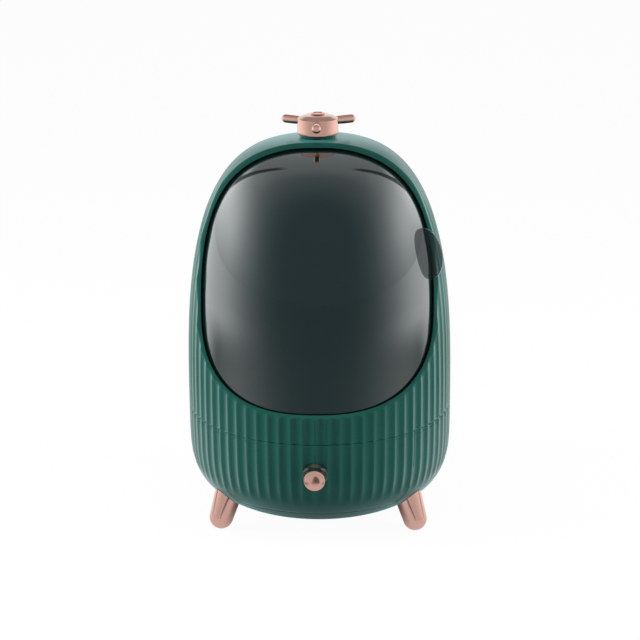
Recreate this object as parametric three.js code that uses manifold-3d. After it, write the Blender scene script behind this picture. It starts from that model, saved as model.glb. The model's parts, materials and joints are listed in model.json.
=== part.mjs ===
import * as THREE from 'three';
import { mergeVertices } from 'three/addons/utils/BufferGeometryUtils.js';
import Module from 'manifold-3d';

// Cosmetic organizer box: an upright egg-shaped case with a fluted skin on four splayed legs.
// A smoked visor turns about the case's upright axis and opens the upper chamber. A drawer
// slides out of the lower case, and a small three-bladed propeller turns on the crown.
// Millimetres, +Z up, front towards -Y. Every piece is drawn about the case's upright axis.

const wasm = await Module();
wasm.setup();

// Case: the egg that all outer skins are cut from
const bodyRadius = 109;
const footClearance = 16;
const bodyHeight = 299.5;
const waistHeight = 74;
const heelTrim = 8;
const wall = 3.5;
const upperHeightPower = 2.9;
const upperRadiusPower = 3.1;
const lowerHeightPower = 4;
const lowerRadiusPower = 3.07;

// Flutes in the skin, and where they run out
const fluteCount = 72;
const fluteDepth = 1.3;
const fluteFootHeight = 22;
const fluteFootFade = 12;
const fluteCrownDrop = 13;
const fluteCrownFade = 55;

// Joint line between the upper and the lower case
const seamHeight = 76;
const seamGap = 0.4;
const flangeWidth = 8.5;
const flangeThickness = 3;
const ledgeThickness = 4;

// Opening of the upper chamber, seen from the front
const openingSideInset = 11.4;
const openingSillRise = 21.1;
const openingTopSetback = 22.6;
const openingWidestShare = 0.37;
const openingTopPower = 2.56;
const openingSillPower = 2.94;
const rimFlareReach = 12;
const rimFocusForwardShare = 0.66;
const rimFocusLowShare = 0.16;
const rimFocusHighShare = 0.6;

// Clearances: fit is left between pieces that touch, overrun lets a cut pass a face
const fit = 0.3;
const overrun = 1;

// Chamber floor and the ring that the visor runs on
const deckThickness = 3;
const trackSeatHeight = 2;
const trackLipHeight = 3.2;
const trackLipThickness = 1.4;
const trackGap = 0.8;

// Visor
const visorGap = 1.6;
const visorWall = 2.2;
const visorHalfAngle = 86;
const visorPivotRadius = 12;

// Finger tab on the visor
const tabRimSetback = 5;
const tabHeight = 42;
const tabReach = 13.6;
const tabRootDepth = 3.2;
const tabThickness = 2;
const tabCentreHeight = 212.3;

// Pivot on the crown
const pinRadius = 2.5;
const pinHeadRadius = 6;
const pinHeadHeight = 2.6;
const pinEngagement = 7;
const washerRadius = 9;

// Propeller
const crownLandMargin = 1;
const collarRadius = 14.5;
const collarHeight = 1.9;
const hubRadius = 16.4;
const hubHeight = 13;
const hubCrownHeight = 2.8;
const hubCrownBulge = 0.75;
const hubShoulder = 1.2;
const bladeCount = 3;
const bladeTipReach = 34;
const bladeHeight = 7;
const bladeWidth = 7.4;
const bladeRootShare = 0.95;
const bladeAxisHeight = 9.4;
const bladeTenonRadius = 2;
const bladeTenonLength = 4.5;
const capRadius = 5.6;
const capHeight = 0.9;
const capEdge = 0.3;
const capStemRadius = 2.6;
const capStemLength = 4;

// Drawer
const drawerSillHeight = 13.3;
const drawerSeamSetback = 34.6;
const drawerGap = 0.4;
const trayWall = 2;
const trayFloorLift = 2.2;
const trayHeadroom = 3.6;
const traySideClearance = 6;
const trayRearReach = 45;
const drawerTravel = 95;
const catchWidth = 16;
const catchRise = 5;
const stopWidth = 20;
const stopDepth = 6;
const dividerThickness = 1.6;
const dividerDrop = 6;
const crossDividerSetback = 38;

// Drawer runners
const runnerSeatWidth = 8;
const runnerLipThickness = 2.5;
const runnerLipHeight = 7;
const runnerFrontReach = 58;

// Drawer knob
const knobLength = 11.7;
const knobBaseRadius = 10;
const knobFaceRadius = 8.9;
const knobEdge = 1;
const knobSink = 2.5;
const knobHeightShare = 0.6;

// Base plate
const plateBossRadius = 40;
const plateFlangeWidth = 5;
const plateFlangeThickness = 2;

// Legs
const legAngle = 54.3;
const legFootInset = 11;
const legSplay = 20.5;
const legFootRadius = 9.8;
const legTopRadius = 11.9;
const legLength = 28;
const legFlat = 0.5;

// Screws
const screwRadius = 1.5;
const screwHeadRadius = 3.1;
const screwHeadHeight = 2.2;
const legScrewBite = 11;
const screwBossWall = 1.6;
const knobScrewBite = 7;
const caseScrewAngles = [-150, -72, 72, 150];

// Inner shelf
const shelfHeight = 98;
const shelfThickness = 3;
const shelfInset = 23;
const shelfFrontSetback = 6;
const shelfLipHeight = 7;
const shelfPanelSpanShare = 0.605;
const shelfPanelDepthShare = 0.535;

// Smoothness of the round forms
const facetsPerFlute = 3;
const plainSides = 48;
const smallSides = 14;
const screwSides = 8;
const legSides = 14;
const lowerRows = 5;
const upperRows = 7;
const rowMarginShare = 0.01;
const rimSteps = 64;
const roundSteps = 4;
const mergeTolerance = 1e-5;

// Heights worked out from the driving sizes
const bottomZ = footClearance;
const crownZ = bottomZ + bodyHeight;
const waistZ = bottomZ + waistHeight;
const heelZ = bottomZ - heelTrim;
const seamZ = bottomZ + seamHeight;
const lowerTopZ = seamZ - seamGap / 2;
const upperBottomZ = seamZ + seamGap / 2;
const flangeTopZ = upperBottomZ + flangeThickness;
const ledgeBottomZ = lowerTopZ - ledgeThickness;
const deckBottomZ = flangeTopZ + fit;
const deckTopZ = deckBottomZ + deckThickness;
const trackBottomZ = deckTopZ + fit;
const trackSeatZ = trackBottomZ + trackSeatHeight;
const visorBottomZ = trackSeatZ + fit;
const visorInset = wall + visorGap;
const visorCrownZ = crownZ - visorInset;
const drawerSillZ = bottomZ + drawerSillHeight;
const trayBottomZ = drawerSillZ + trayFloorLift;
const trayTopZ = ledgeBottomZ - trayHeadroom;
const tabCentreZ = bottomZ + tabCentreHeight;
const knobZ = drawerSillZ + (lowerTopZ - drawerSillZ) * knobHeightShare;
const hubBottomZ = crownZ + fit + collarHeight + fit;
const hubTopZ = hubBottomZ + hubHeight + hubCrownHeight;
const shelfTopZ = deckTopZ + shelfHeight;
const shelfRadius = bodyRadius - shelfInset;
const drawerSeamReach = bodyRadius - drawerSeamSetback;
const legFootReach = bodyRadius - legFootInset;
const openingTopZ = eggHeightAt(openingTopSetback);
const openingSillZ = seamZ + openingSillRise;
const openingWidestZ = openingSillZ + (openingTopZ - openingSillZ) * openingWidestShare;
const openingHalfWidth = bodyRadius - openingSideInset;
const seatRadius = eggRadiusAt(seamZ) - wall;
const farReach = bodyRadius * 2;

const finishes = {
  greenCase: { color: 0x1f4a40, roughness: 0.5, metalness: 0 },
  greenInner: { color: 0x1a3f37, roughness: 0.6, metalness: 0 },
  smokedAcrylic: { color: 0x1c2324, roughness: 0.06, metalness: 0, transparent: true, opacity: 0.8 },
  clearAcrylic: { color: 0x4a5554, roughness: 0.06, metalness: 0, transparent: true, opacity: 0.5 },
  roseGold: { color: 0xd8a596, roughness: 0.18, metalness: 1 },
  paleNylon: { color: 0xd9d8d2, roughness: 0.45, metalness: 0 },
  screwSteel: { color: 0x9a9c9e, roughness: 0.35, metalness: 1 },
};

// Radius of the egg at a height
function eggRadiusAt(z) {
  const upper = z >= waistZ;
  const reach = upper ? crownZ - waistZ : waistZ - heelZ;
  const heightPower = upper ? upperHeightPower : lowerHeightPower;
  const radiusPower = upper ? upperRadiusPower : lowerRadiusPower;
  const rise = Math.min(Math.abs(z - waistZ) / reach, 1);
  return bodyRadius * (1 - rise ** heightPower) ** (1 / radiusPower);
}

// Height at which the upper egg has a radius
function eggHeightAt(radius) {
  const share = (radius / bodyRadius) ** upperRadiusPower;
  return waistZ + (crownZ - waistZ) * (1 - share) ** (1 / upperHeightPower);
}

// Radius of the faceted skin at a height, with the skin moved inwards by an inset
function skinRadiusAt(z, inset) {
  const rows = eggOutline(inset);
  const above = rows.findIndex(({ x, y }) => x > 0 && y > z);
  const [low, high] = [rows[above - 1], rows[above]];
  return THREE.MathUtils.mapLinear(z, low.y, high.y, low.x, high.x);
}

// Point of the egg's outline, at an angle up or down from the waist, moved inwards by an inset
function outlinePoint(angle, upper, inset) {
  const reach = upper ? crownZ - waistZ : heelZ - waistZ;
  const heightPower = upper ? upperHeightPower : lowerHeightPower;
  const radiusPower = upper ? upperRadiusPower : lowerRadiusPower;
  const radiusShare = Math.max(Math.cos(angle), 0) ** (2 / radiusPower);
  const heightShare = Math.sin(angle) ** (2 / heightPower);
  const normal = new THREE.Vector2(
    (radiusPower / bodyRadius) * radiusShare ** (radiusPower - 1),
    (heightPower / reach) * heightShare ** (heightPower - 1),
  ).normalize();
  const radius = bodyRadius * radiusShare - inset * normal.x;
  const z = waistZ + reach * heightShare - inset * normal.y;
  return new THREE.Vector2(Math.max(radius, 0), Math.max(z, bottomZ + inset));
}

// Outline of the whole egg from the underside to the crown, starting and ending on the axis
function eggOutline(inset) {
  const quarter = Math.PI / 2;
  const floorShare = (waistZ - bottomZ) / (waistZ - heelZ);
  const floorAngle = Math.asin(floorShare ** (lowerHeightPower / 2));
  const points = [new THREE.Vector2(0, bottomZ + inset)];
  for (let row = lowerRows; row > 0; row--) {
    points.push(outlinePoint((floorAngle * row) / lowerRows, false, inset));
  }
  for (let row = 0; row < upperRows; row++) {
    points.push(outlinePoint((quarter * row) / upperRows, true, inset));
  }
  points.push(new THREE.Vector2(collarRadius + crownLandMargin, crownZ - inset));
  points.push(new THREE.Vector2(0, crownZ - inset));
  return points;
}

// Depth of the flutes at a height: they run out softly above the heel and on the crown
function fluteDepthAt(z) {
  const footZ = bottomZ + fluteFootHeight;
  const headZ = crownZ - fluteCrownDrop;
  const foot = THREE.MathUtils.smoothstep(z, footZ, footZ + fluteFootFade);
  const head = 1 - THREE.MathUtils.smoothstep(z, headZ - fluteCrownFade, headZ);
  return fluteDepth * foot * head;
}

// Closed mesh with shared vertices from any geometry, without the empty triangles at its poles
function solid(geometry) {
  const bare = geometry.clone();
  bare.deleteAttribute('normal');
  bare.deleteAttribute('uv');
  const merged = mergeVertices(bare, mergeTolerance);
  const index = merged.index.array;
  const corners = [];
  for (let i = 0; i < index.length; i += 3) {
    const [a, b, c] = index.slice(i, i + 3);
    if (a !== b && b !== c && c !== a) corners.push(a, b, c);
  }
  const mesh = new wasm.Mesh({
    numProp: 3,
    vertProperties: new Float32Array(merged.attributes.position.array),
    triVerts: new Uint32Array(corners),
  });
  return new wasm.Manifold(mesh);
}

// Solid of revolution about the upright axis, from an outline of radius and height
function turned(outline, sides) {
  return solid(new THREE.LatheGeometry(outline, sides).rotateX(Math.PI / 2));
}

// Outline points from pairs of radius and height
function outlineOf(...pairs) {
  return pairs.map(([radius, z]) => new THREE.Vector2(radius, z));
}

function disc(radius, lowZ, highZ, sides) {
  const geometry = new THREE.CylinderGeometry(radius, radius, highZ - lowZ, sides);
  return solid(geometry.rotateX(Math.PI / 2).translate(0, 0, (lowZ + highZ) / 2));
}

function block([lowX, highX], [lowY, highY], [lowZ, highZ]) {
  const geometry = new THREE.BoxGeometry(highX - lowX, highY - lowY, highZ - lowZ);
  return solid(geometry.translate((lowX + highX) / 2, (lowY + highY) / 2, (lowZ + highZ) / 2));
}

// Everything between two heights
function slab(lowZ, highZ) {
  return block([-farReach, farReach], [-farReach, farReach], [lowZ, highZ]);
}

// Upright prism over a flat outline of x and y pairs
function prism(pairs, lowZ, highZ) {
  const shape = new THREE.Shape(pairs.map(([x, y]) => new THREE.Vector2(x, y)));
  const options = { depth: highZ - lowZ, bevelEnabled: false };
  return solid(new THREE.ExtrudeGeometry(shape, options).translate(0, 0, lowZ));
}

// Closed loft through rings of equal count, with a tip at each end
function loft(firstTip, rings, lastTip) {
  const count = rings[0].length;
  const points = [firstTip, ...rings.flat(), lastTip];
  const corners = [];
  const at = (ring, step) => 1 + ring * count + (step % count);
  for (let step = 0; step < count; step++) {
    corners.push(0, at(0, step + 1), at(0, step));
    for (let ring = 0; ring < rings.length - 1; ring++) {
      corners.push(at(ring, step), at(ring, step + 1), at(ring + 1, step + 1));
      corners.push(at(ring, step), at(ring + 1, step + 1), at(ring + 1, step));
    }
    const last = rings.length - 1;
    corners.push(at(last, step), at(last, step + 1), points.length - 1);
  }
  const geometry = new THREE.BufferGeometry().setFromPoints(points);
  geometry.setIndex(corners);
  return solid(geometry);
}

function place(body, turn, offset) {
  const matrix = new THREE.Matrix4().makeRotationFromEuler(turn).setPosition(offset);
  return body.transform(matrix.elements);
}

// Egg without flutes, moved inwards by an inset
function plainEgg(inset) {
  return turned(eggOutline(inset), plainSides);
}

// Fluted egg between two heights
function flutedEgg(lowZ, highZ) {
  const margin = (crownZ - bottomZ) * rowMarginShare;
  const capped = highZ < crownZ;
  const lastRowZ = capped ? highZ - margin : crownZ;
  const rows = eggOutline(0).filter(({ y }) => y > lowZ + margin && y <= lastRowZ);
  const outline = [new THREE.Vector2(0, lowZ), new THREE.Vector2(eggRadiusAt(lowZ), lowZ), ...rows];
  if (capped) outline.push(new THREE.Vector2(eggRadiusAt(highZ), highZ), new THREE.Vector2(0, highZ));
  const geometry = new THREE.LatheGeometry(outline, fluteCount * facetsPerFlute);
  const position = geometry.attributes.position;
  for (let i = 0; i < position.count; i++) {
    const facet = Math.floor(i / outline.length) % facetsPerFlute;
    const { x: radius, y: z } = outline[i % outline.length];
    const hollow = fluteDepthAt(z) * Math.sin((Math.PI * facet) / facetsPerFlute);
    const scale = radius > 0 ? (radius - hollow) / radius : 1;
    position.setX(i, position.getX(i) * scale);
    position.setZ(i, position.getZ(i) * scale);
  }
  return solid(geometry.rotateX(Math.PI / 2));
}

// Everything in front of the drawer's seam, from a height up, drawn in by a clearance
function drawerBay(lowZ, clearance) {
  return block([-farReach, farReach], [-farReach, -drawerSeamReach - clearance], [lowZ, crownZ]);
}

// Sector about the front, seen from above
function frontSector(halfAngle, lowZ, highZ) {
  const pairs = [[0, 0]];
  for (let step = 0; step <= roundSteps; step++) {
    const angle = THREE.MathUtils.degToRad(halfAngle) * ((2 * step) / roundSteps - 1);
    pairs.push([farReach * Math.sin(angle), -farReach * Math.cos(angle)]);
  }
  return prism(pairs, lowZ, highZ);
}

// The opening's edge on the egg: a rounded outline seen from the front, laid on the skin
function rimPoint(share) {
  const angle = share * Math.PI * 2;
  const [across, up] = [Math.cos(angle), Math.sin(angle)];
  const power = up >= 0 ? openingTopPower : openingSillPower;
  const reach = up >= 0 ? openingTopZ - openingWidestZ : openingWidestZ - openingSillZ;
  const stretch = (Math.abs(across) ** power + Math.abs(up) ** power) ** (-1 / power);
  const x = openingHalfWidth * across * stretch;
  const z = openingWidestZ + reach * up * stretch;
  const forward = Math.sqrt(Math.max(eggRadiusAt(z) ** 2 - x ** 2, 0));
  return new THREE.Vector3(x, -forward, z);
}

// Angle about the upright axis, from the front, at which the opening's edge crosses a height
function rimAngleAt(z) {
  const upper = z >= openingWidestZ;
  const power = upper ? openingTopPower : openingSillPower;
  const reach = upper ? openingTopZ - openingWidestZ : openingWidestZ - openingSillZ;
  const rise = Math.abs(z - openingWidestZ) / reach;
  const x = openingHalfWidth * (1 - Math.min(rise, 1) ** power) ** (1 / power);
  return Math.asin(Math.min(x / eggRadiusAt(z), 1));
}

// The opening flares outwards: every line of its rim points at a short upright line inside
function openingCutter() {
  const focusY = -bodyRadius * rimFocusForwardShare;
  const height = crownZ - openingSillZ;
  const [inner, outer] = [[], []];
  for (let step = 0; step < rimSteps; step++) {
    const point = rimPoint(step / rimSteps);
    const share = THREE.MathUtils.mapLinear(point.z, openingSillZ, crownZ, rimFocusLowShare, rimFocusHighShare);
    const focus = new THREE.Vector3(0, focusY, openingSillZ + height * share);
    const away = point.clone().sub(focus).setLength(rimFlareReach);
    inner.push(point.clone().sub(away));
    outer.push(point.clone().add(away));
  }
  const middleZ = openingSillZ + height / 2;
  const innerTip = new THREE.Vector3(0, focusY, middleZ);
  const outerTip = new THREE.Vector3(0, -bodyRadius - farReach, middleZ);
  return loft(innerTip, [inner, outer], outerTip);
}

// Upright screw holes through the rims of both cases and the deck
function caseScrewPlaces() {
  const radius = seatRadius - flangeWidth / 2;
  return caseScrewAngles.map((degrees) => {
    const angle = THREE.MathUtils.degToRad(degrees);
    return new THREE.Vector3(radius * Math.sin(angle), -radius * Math.cos(angle), 0);
  });
}

function drilled(body, radius, lowZ, highZ) {
  const hole = disc(radius, lowZ, highZ, screwSides);
  return caseScrewPlaces().reduce((rest, offset) => rest.subtract(hole.translate(offset.toArray())), body);
}

// Screw standing on its head, head below the height z
function screw(z, length) {
  return turned(outlineOf(
    [0, z - screwHeadHeight], [screwHeadRadius, z - screwHeadHeight], [screwHeadRadius, z],
    [screwRadius, z], [screwRadius, z + length], [0, z + length],
  ), screwSides);
}

function upperShell() {
  const chamber = plainEgg(wall).intersect(slab(flangeTopZ, crownZ));
  const flangeHole = disc(seatRadius - flangeWidth, seamZ - overrun, flangeTopZ + overrun, plainSides);
  const pinHole = disc(pinRadius + fit, crownZ - wall * 2, crownZ + overrun, smallSides);
  const shell = flutedEgg(upperBottomZ, crownZ).subtract(chamber).subtract(flangeHole)
    .subtract(openingCutter()).subtract(pinHole);
  return drilled(shell, screwRadius + fit, seamZ - overrun, flangeTopZ + overrun);
}

function baseShell() {
  const bowl = plainEgg(wall).intersect(slab(bottomZ, ledgeBottomZ));
  const ledgeHole = disc(seatRadius - flangeWidth, ledgeBottomZ - overrun, seamZ + overrun, plainSides);
  const ledgeKeep = disc(seatRadius - fit, ledgeBottomZ, seamZ + overrun * 2, plainSides);
  const bay = drawerBay(drawerSillZ, 0).subtract(ledgeKeep);
  const plateHole = disc(plateBossRadius + fit, bottomZ - overrun, bottomZ + wall + overrun, plainSides / 2);
  const shell = flutedEgg(bottomZ, lowerTopZ).subtract(bowl).subtract(ledgeHole)
    .subtract(bay).subtract(plateHole);
  const seated = legPlaces().reduce((rest, at) => rest.add(legBoss(at)), shell);
  const bored = legPlaces().reduce((rest, at) => rest.subtract(placeOnLeg(legHole(), at)), seated);
  return drilled(bored, screwRadius + fit, ledgeBottomZ - overrun, seamZ + overrun);
}

function basePlate() {
  const flangeZ = bottomZ + wall + fit;
  const flangeRadius = plateBossRadius + plateFlangeWidth;
  const topZ = flangeZ + plateFlangeThickness;
  return turned(outlineOf(
    [0, bottomZ], [plateBossRadius, bottomZ], [plateBossRadius, flangeZ],
    [flangeRadius, flangeZ], [flangeRadius, topZ], [0, topZ],
  ), plainSides / 2);
}

function deck() {
  const floor = plainEgg(wall + fit).intersect(slab(deckBottomZ, deckTopZ));
  return drilled(floor, screwRadius + fit, deckBottomZ - overrun, deckTopZ - deckThickness / 3);
}

function visorTrack() {
  const visorRadius = eggRadiusAt(visorBottomZ) - visorInset;
  const innerFace = visorRadius - visorWall - trackGap;
  const lowRadius = innerFace - trackLipThickness;
  return turned(outlineOf(
    [lowRadius, trackBottomZ], [visorRadius, trackBottomZ], [visorRadius, trackSeatZ],
    [innerFace, trackSeatZ], [innerFace, trackSeatZ + trackLipHeight],
    [lowRadius, trackSeatZ + trackLipHeight], [lowRadius, trackBottomZ],
  ), plainSides);
}

function visor() {
  const skin = plainEgg(visorInset).subtract(plainEgg(visorInset + visorWall));
  const crownDisc = disc(visorPivotRadius, waistZ, crownZ, smallSides * 2);
  const kept = frontSector(visorHalfAngle, waistZ, crownZ).add(crownDisc);
  const pinHole = disc(pinRadius + fit, visorCrownZ - visorWall * 2, crownZ, smallSides);
  return skin.intersect(kept).intersect(slab(visorBottomZ, crownZ)).subtract(pinHole);
}

// Angle of the tab: beside the opening's edge, clear of it over the tab's whole height
function tabAngle() {
  const ends = [tabCentreZ - tabHeight / 2, tabCentreZ + tabHeight / 2];
  return Math.min(...ends.map(rimAngleAt)) - tabRimSetback / eggRadiusAt(tabCentreZ);
}

// Clear D-shaped fin, its straight side seated on the visor
function visorTab() {
  const shape = new THREE.Shape();
  const root = eggRadiusAt(tabCentreZ) - visorInset;
  const rootLean = eggRadiusAt(tabCentreZ - tabHeight / 2) - eggRadiusAt(tabCentreZ + tabHeight / 2);
  shape.absellipse(0, 0, tabReach, tabHeight / 2, -Math.PI / 2, Math.PI / 2);
  shape.lineTo(-tabRootDepth, tabHeight / 2);
  shape.lineTo(-tabRootDepth, -tabHeight / 2);
  const options = { depth: tabThickness, bevelEnabled: false, curveSegments: smallSides };
  const fin = new THREE.ExtrudeGeometry(shape, options).translate(0, 0, -tabThickness / 2);
  fin.rotateZ(Math.atan2(rootLean, tabHeight)).rotateX(Math.PI / 2);
  fin.translate(root, 0, tabCentreZ).rotateZ(tabAngle() - Math.PI / 2);
  return solid(fin).subtract(plainEgg(visorInset - fit));
}

function pivotPin() {
  const headTopZ = visorCrownZ - visorWall - fit;
  const headBottomZ = headTopZ - pinHeadHeight;
  const tipZ = hubBottomZ + pinEngagement;
  return turned(outlineOf(
    [0, headBottomZ], [pinHeadRadius, headBottomZ], [pinHeadRadius, headTopZ],
    [pinRadius, headTopZ], [pinRadius, tipZ], [0, tipZ],
  ), smallSides);
}

// Ring of square section, from an inner to an outer radius
function ring(innerRadius, outerRadius, lowZ, highZ, sides) {
  return turned(outlineOf(
    [innerRadius, lowZ], [outerRadius, lowZ], [outerRadius, highZ],
    [innerRadius, highZ], [innerRadius, lowZ],
  ), sides);
}

function pivotWasher() {
  const highZ = crownZ - wall - fit;
  return ring(pinRadius + fit, washerRadius, visorCrownZ + fit, highZ, smallSides);
}

function hubCollar() {
  return ring(pinRadius + fit, collarRadius, crownZ + fit, crownZ + fit + collarHeight, plainSides / 2);
}

function propellerHub() {
  const shoulderZ = hubBottomZ + hubHeight;
  const body = turned(outlineOf(
    [0, hubBottomZ], [hubRadius, hubBottomZ], [hubRadius, shoulderZ - hubShoulder / 2],
    [hubRadius - hubShoulder, shoulderZ], [(hubRadius + capRadius) / 2, shoulderZ + hubCrownHeight * hubCrownBulge],
    [capRadius, hubTopZ], [0, hubTopZ],
  ), plainSides / 2);
  const pinBore = disc(pinRadius + fit, hubBottomZ - overrun, hubBottomZ + pinEngagement + fit, smallSides);
  const stemBore = disc(capStemRadius + fit, hubTopZ - capStemLength - fit, hubTopZ + overrun, smallSides);
  return bladeAngles().reduce((rest, angle) => {
    const socket = disc(bladeTenonRadius + fit, hubRadius - bladeTenonLength - fit, farReach, screwSides);
    return rest.subtract(aimed(socket, angle, hubBottomZ + bladeAxisHeight));
  }, body.subtract(pinBore).subtract(stemBore));
}

function bladeAngles() {
  return Array.from({ length: bladeCount }, (_, i) => (i * 360) / bladeCount);
}

// Lays an upright piece along a level line, from the front turned by an angle
function aimed(body, degrees, z) {
  const turn = new THREE.Euler(Math.PI / 2, 0, THREE.MathUtils.degToRad(degrees), 'ZYX');
  return place(body, turn, new THREE.Vector3(0, 0, z));
}

// Rounded lobe with a tenon that plugs into the hub
function propellerBlade(degrees) {
  const rootZ = hubRadius + fit;
  const halfWidth = bladeWidth / 2;
  const tip = [];
  for (let step = 0; step <= roundSteps; step++) {
    const angle = (Math.PI / 2) * (step / roundSteps);
    tip.push([halfWidth * Math.cos(angle), bladeTipReach - halfWidth * (1 - Math.sin(angle))]);
  }
  tip[roundSteps][0] = 0;
  const lobe = turned(outlineOf([0, rootZ], [halfWidth * bladeRootShare, rootZ], ...tip), smallSides);
  const flattened = lobe.scale([1, bladeHeight / bladeWidth, 1]);
  const tenon = disc(bladeTenonRadius, hubRadius - bladeTenonLength, rootZ + overrun, screwSides);
  return aimed(flattened.add(tenon), degrees, hubBottomZ + bladeAxisHeight);
}

function propellerCap() {
  const lowZ = hubTopZ + fit;
  const topZ = lowZ + capHeight;
  return turned(outlineOf(
    [0, lowZ - capStemLength], [capStemRadius, lowZ - capStemLength], [capStemRadius, lowZ],
    [capRadius, lowZ], [capRadius, topZ - capEdge], [capRadius - capEdge, topZ], [0, topZ],
  ), smallSides);
}

function drawerFront() {
  const hole = disc(screwRadius + fit, 0, farReach, screwSides);
  return flutedEgg(drawerSillZ + drawerGap, lowerTopZ)
    .subtract(plainEgg(wall))
    .intersect(drawerBay(drawerSillZ, drawerGap))
    .subtract(aimed(hole, 0, knobZ));
}

function trayHalfWidth() {
  return Math.sqrt(eggRadiusAt(drawerSillZ) ** 2 - drawerSeamReach ** 2) - traySideClearance;
}

function drawerTray() {
  const halfWidth = trayHalfWidth();
  const innerHalf = halfWidth - trayWall;
  const innerRear = trayRearReach - trayWall;
  const outside = block([-halfWidth, halfWidth], [-farReach, trayRearReach], [trayBottomZ, trayTopZ])
    .intersect(plainEgg(wall + fit));
  const inside = block([-innerHalf, innerHalf], [-farReach, innerRear],
    [trayBottomZ + trayWall, trayTopZ + overrun]).intersect(plainEgg(wall + fit + trayWall));
  const hook = block([-catchWidth / 2, catchWidth / 2], [innerRear, trayRearReach],
    [trayTopZ - overrun, trayTopZ + catchRise]);
  const screwHole = disc(screwRadius + fit, knobScrewSeat() - overrun, farReach, screwSides);
  return outside.subtract(inside).add(hook).subtract(aimed(screwHole, 0, knobZ));
}

// Reach of the face inside the tray that the knob's screw head presses on
function knobScrewSeat() {
  return skinRadiusAt(knobZ, wall + fit + trayWall) - fit;
}

function longDivider() {
  const half = dividerThickness / 2;
  return block([-half, half], [-farReach, trayRearReach - trayWall - fit],
    [trayBottomZ + trayWall + fit, trayTopZ - dividerDrop])
    .intersect(plainEgg(wall + fit + trayWall + screwHeadHeight + fit * 2));
}

function crossDivider() {
  const endY = -crossDividerSetback;
  return block([dividerThickness / 2 + fit, trayHalfWidth() - trayWall - fit],
    [endY - dividerThickness, endY], [trayBottomZ + trayWall + fit, trayTopZ - dividerDrop]);
}

function drawerStop() {
  const rearY = trayRearReach - trayWall - drawerTravel - fit;
  const lowZ = trayTopZ + overrun;
  return block([-stopWidth / 2, stopWidth / 2], [rearY - stopDepth, rearY], [lowZ, deckBottomZ - fit]);
}

function drawerKnob() {
  const baseY = skinRadiusAt(knobZ, knobSink);
  const seatY = skinRadiusAt(knobZ, 0) + fit;
  const faceY = bodyRadius + fit + knobLength;
  const knob = turned(outlineOf(
    [0, baseY], [knobBaseRadius, baseY], [knobBaseRadius, seatY], [knobFaceRadius, faceY - knobEdge],
    [knobFaceRadius - knobEdge, faceY], [0, faceY],
  ), plainSides / 2);
  const bore = disc(screwRadius + fit, baseY - overrun, seatY + knobScrewBite + fit, screwSides);
  return aimed(knob.subtract(bore), 0, knobZ).subtract(plainEgg(-fit));
}

function knobScrew() {
  const headY = knobScrewSeat();
  const tipY = skinRadiusAt(knobZ, 0) + fit + knobScrewBite;
  return aimed(screw(headY, tipY - headY), 0, knobZ);
}

// Angle-section rail under one side of the tray, seated on the bowl of the base
function drawerRunner(side) {
  const lipX = trayHalfWidth() + fit;
  const outerX = lipX + runnerLipThickness;
  const innerX = lipX - runnerSeatWidth;
  const seat = block([innerX, outerX], [-runnerFrontReach, trayRearReach], [bottomZ, trayBottomZ - fit]);
  const lip = block([lipX, outerX], [-runnerFrontReach, trayRearReach],
    [trayBottomZ - overrun, trayBottomZ + runnerLipHeight]);
  const rail = seat.add(lip).intersect(plainEgg(wall + fit));
  const room = disc(screwHeadRadius + screwBossWall + fit, legAxisReach(0), legScrewRoom(), legSides);
  const clear = legPlaces().reduce((rest, at) => rest.subtract(placeOnLeg(room, at)), rail);
  return side > 0 ? clear : clear.mirror([1, 0, 0]);
}

function legPlaces() {
  return [legAngle, 180 - legAngle, 180 + legAngle, -legAngle];
}

// Puts a piece drawn about the upright axis on a leg's splayed axis, foot down
function placeOnLeg(body, degrees) {
  const angle = THREE.MathUtils.degToRad(degrees);
  const turn = new THREE.Euler(-THREE.MathUtils.degToRad(legSplay), 0, angle, 'ZYX');
  const foot = new THREE.Vector3(legFootReach * Math.sin(angle), -legFootReach * Math.cos(angle), 0);
  foot.z = legFootRadius - legFlat;
  return place(body, turn, foot);
}

// Distance up a leg's axis, from its foot's centre, to the skin moved inwards by an inset
function legAxisReach(inset) {
  const lean = THREE.MathUtils.degToRad(legSplay);
  const floorZ = bottomZ + inset;
  let [low, high] = [0, legFootReach / Math.sin(lean)];
  while (high - low > fit / 10) {
    const middle = (low + high) / 2;
    const z = legFootRadius - legFlat + middle * Math.cos(lean);
    const outside = z < floorZ || legFootReach - middle * Math.sin(lean) > skinRadiusAt(z, inset);
    if (outside) low = middle;
    else high = middle;
  }
  return high;
}

function leg(degrees) {
  const foot = [];
  for (let row = roundSteps; row > 0; row--) {
    const angle = (Math.PI / 2) * (row / roundSteps);
    foot.push([legFootRadius * Math.cos(angle), -legFootRadius * Math.sin(angle)]);
  }
  foot[0][0] = 0;
  const outline = outlineOf(...foot, [legFootRadius, 0], [legTopRadius, legLength], [0, legLength]);
  const bore = disc(screwRadius + fit, legAxisReach(0) - legScrewBite - fit, legLength + overrun, screwSides);
  return placeOnLeg(turned(outline, legSides).subtract(bore), degrees)
    .subtract(plainEgg(-fit)).intersect(slab(0, bodyHeight));
}

// The screw's head seats where its whole rim is inside the wall
function legScrewSeat() {
  return legAxisReach(wall + screwHeadRadius) + fit;
}

function legScrewRoom() {
  return legScrewSeat() + screwHeadHeight + fit;
}

function legHole() {
  return disc(screwRadius + fit, legAxisReach(0) - wall, legScrewSeat() + overrun, screwSides);
}

// Round boss inside the base that carries the head of a leg's screw
function legBoss(degrees) {
  const boss = disc(screwHeadRadius + screwBossWall, legAxisReach(0), legScrewSeat() - fit, legSides);
  return placeOnLeg(boss, degrees).intersect(plainEgg(wall / 2));
}

function legScrew(degrees) {
  const length = legScrewSeat() - legAxisReach(0) + legScrewBite;
  return placeOnLeg(screw(-legScrewSeat(), length).mirror([0, 0, 1]), degrees);
}

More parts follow.
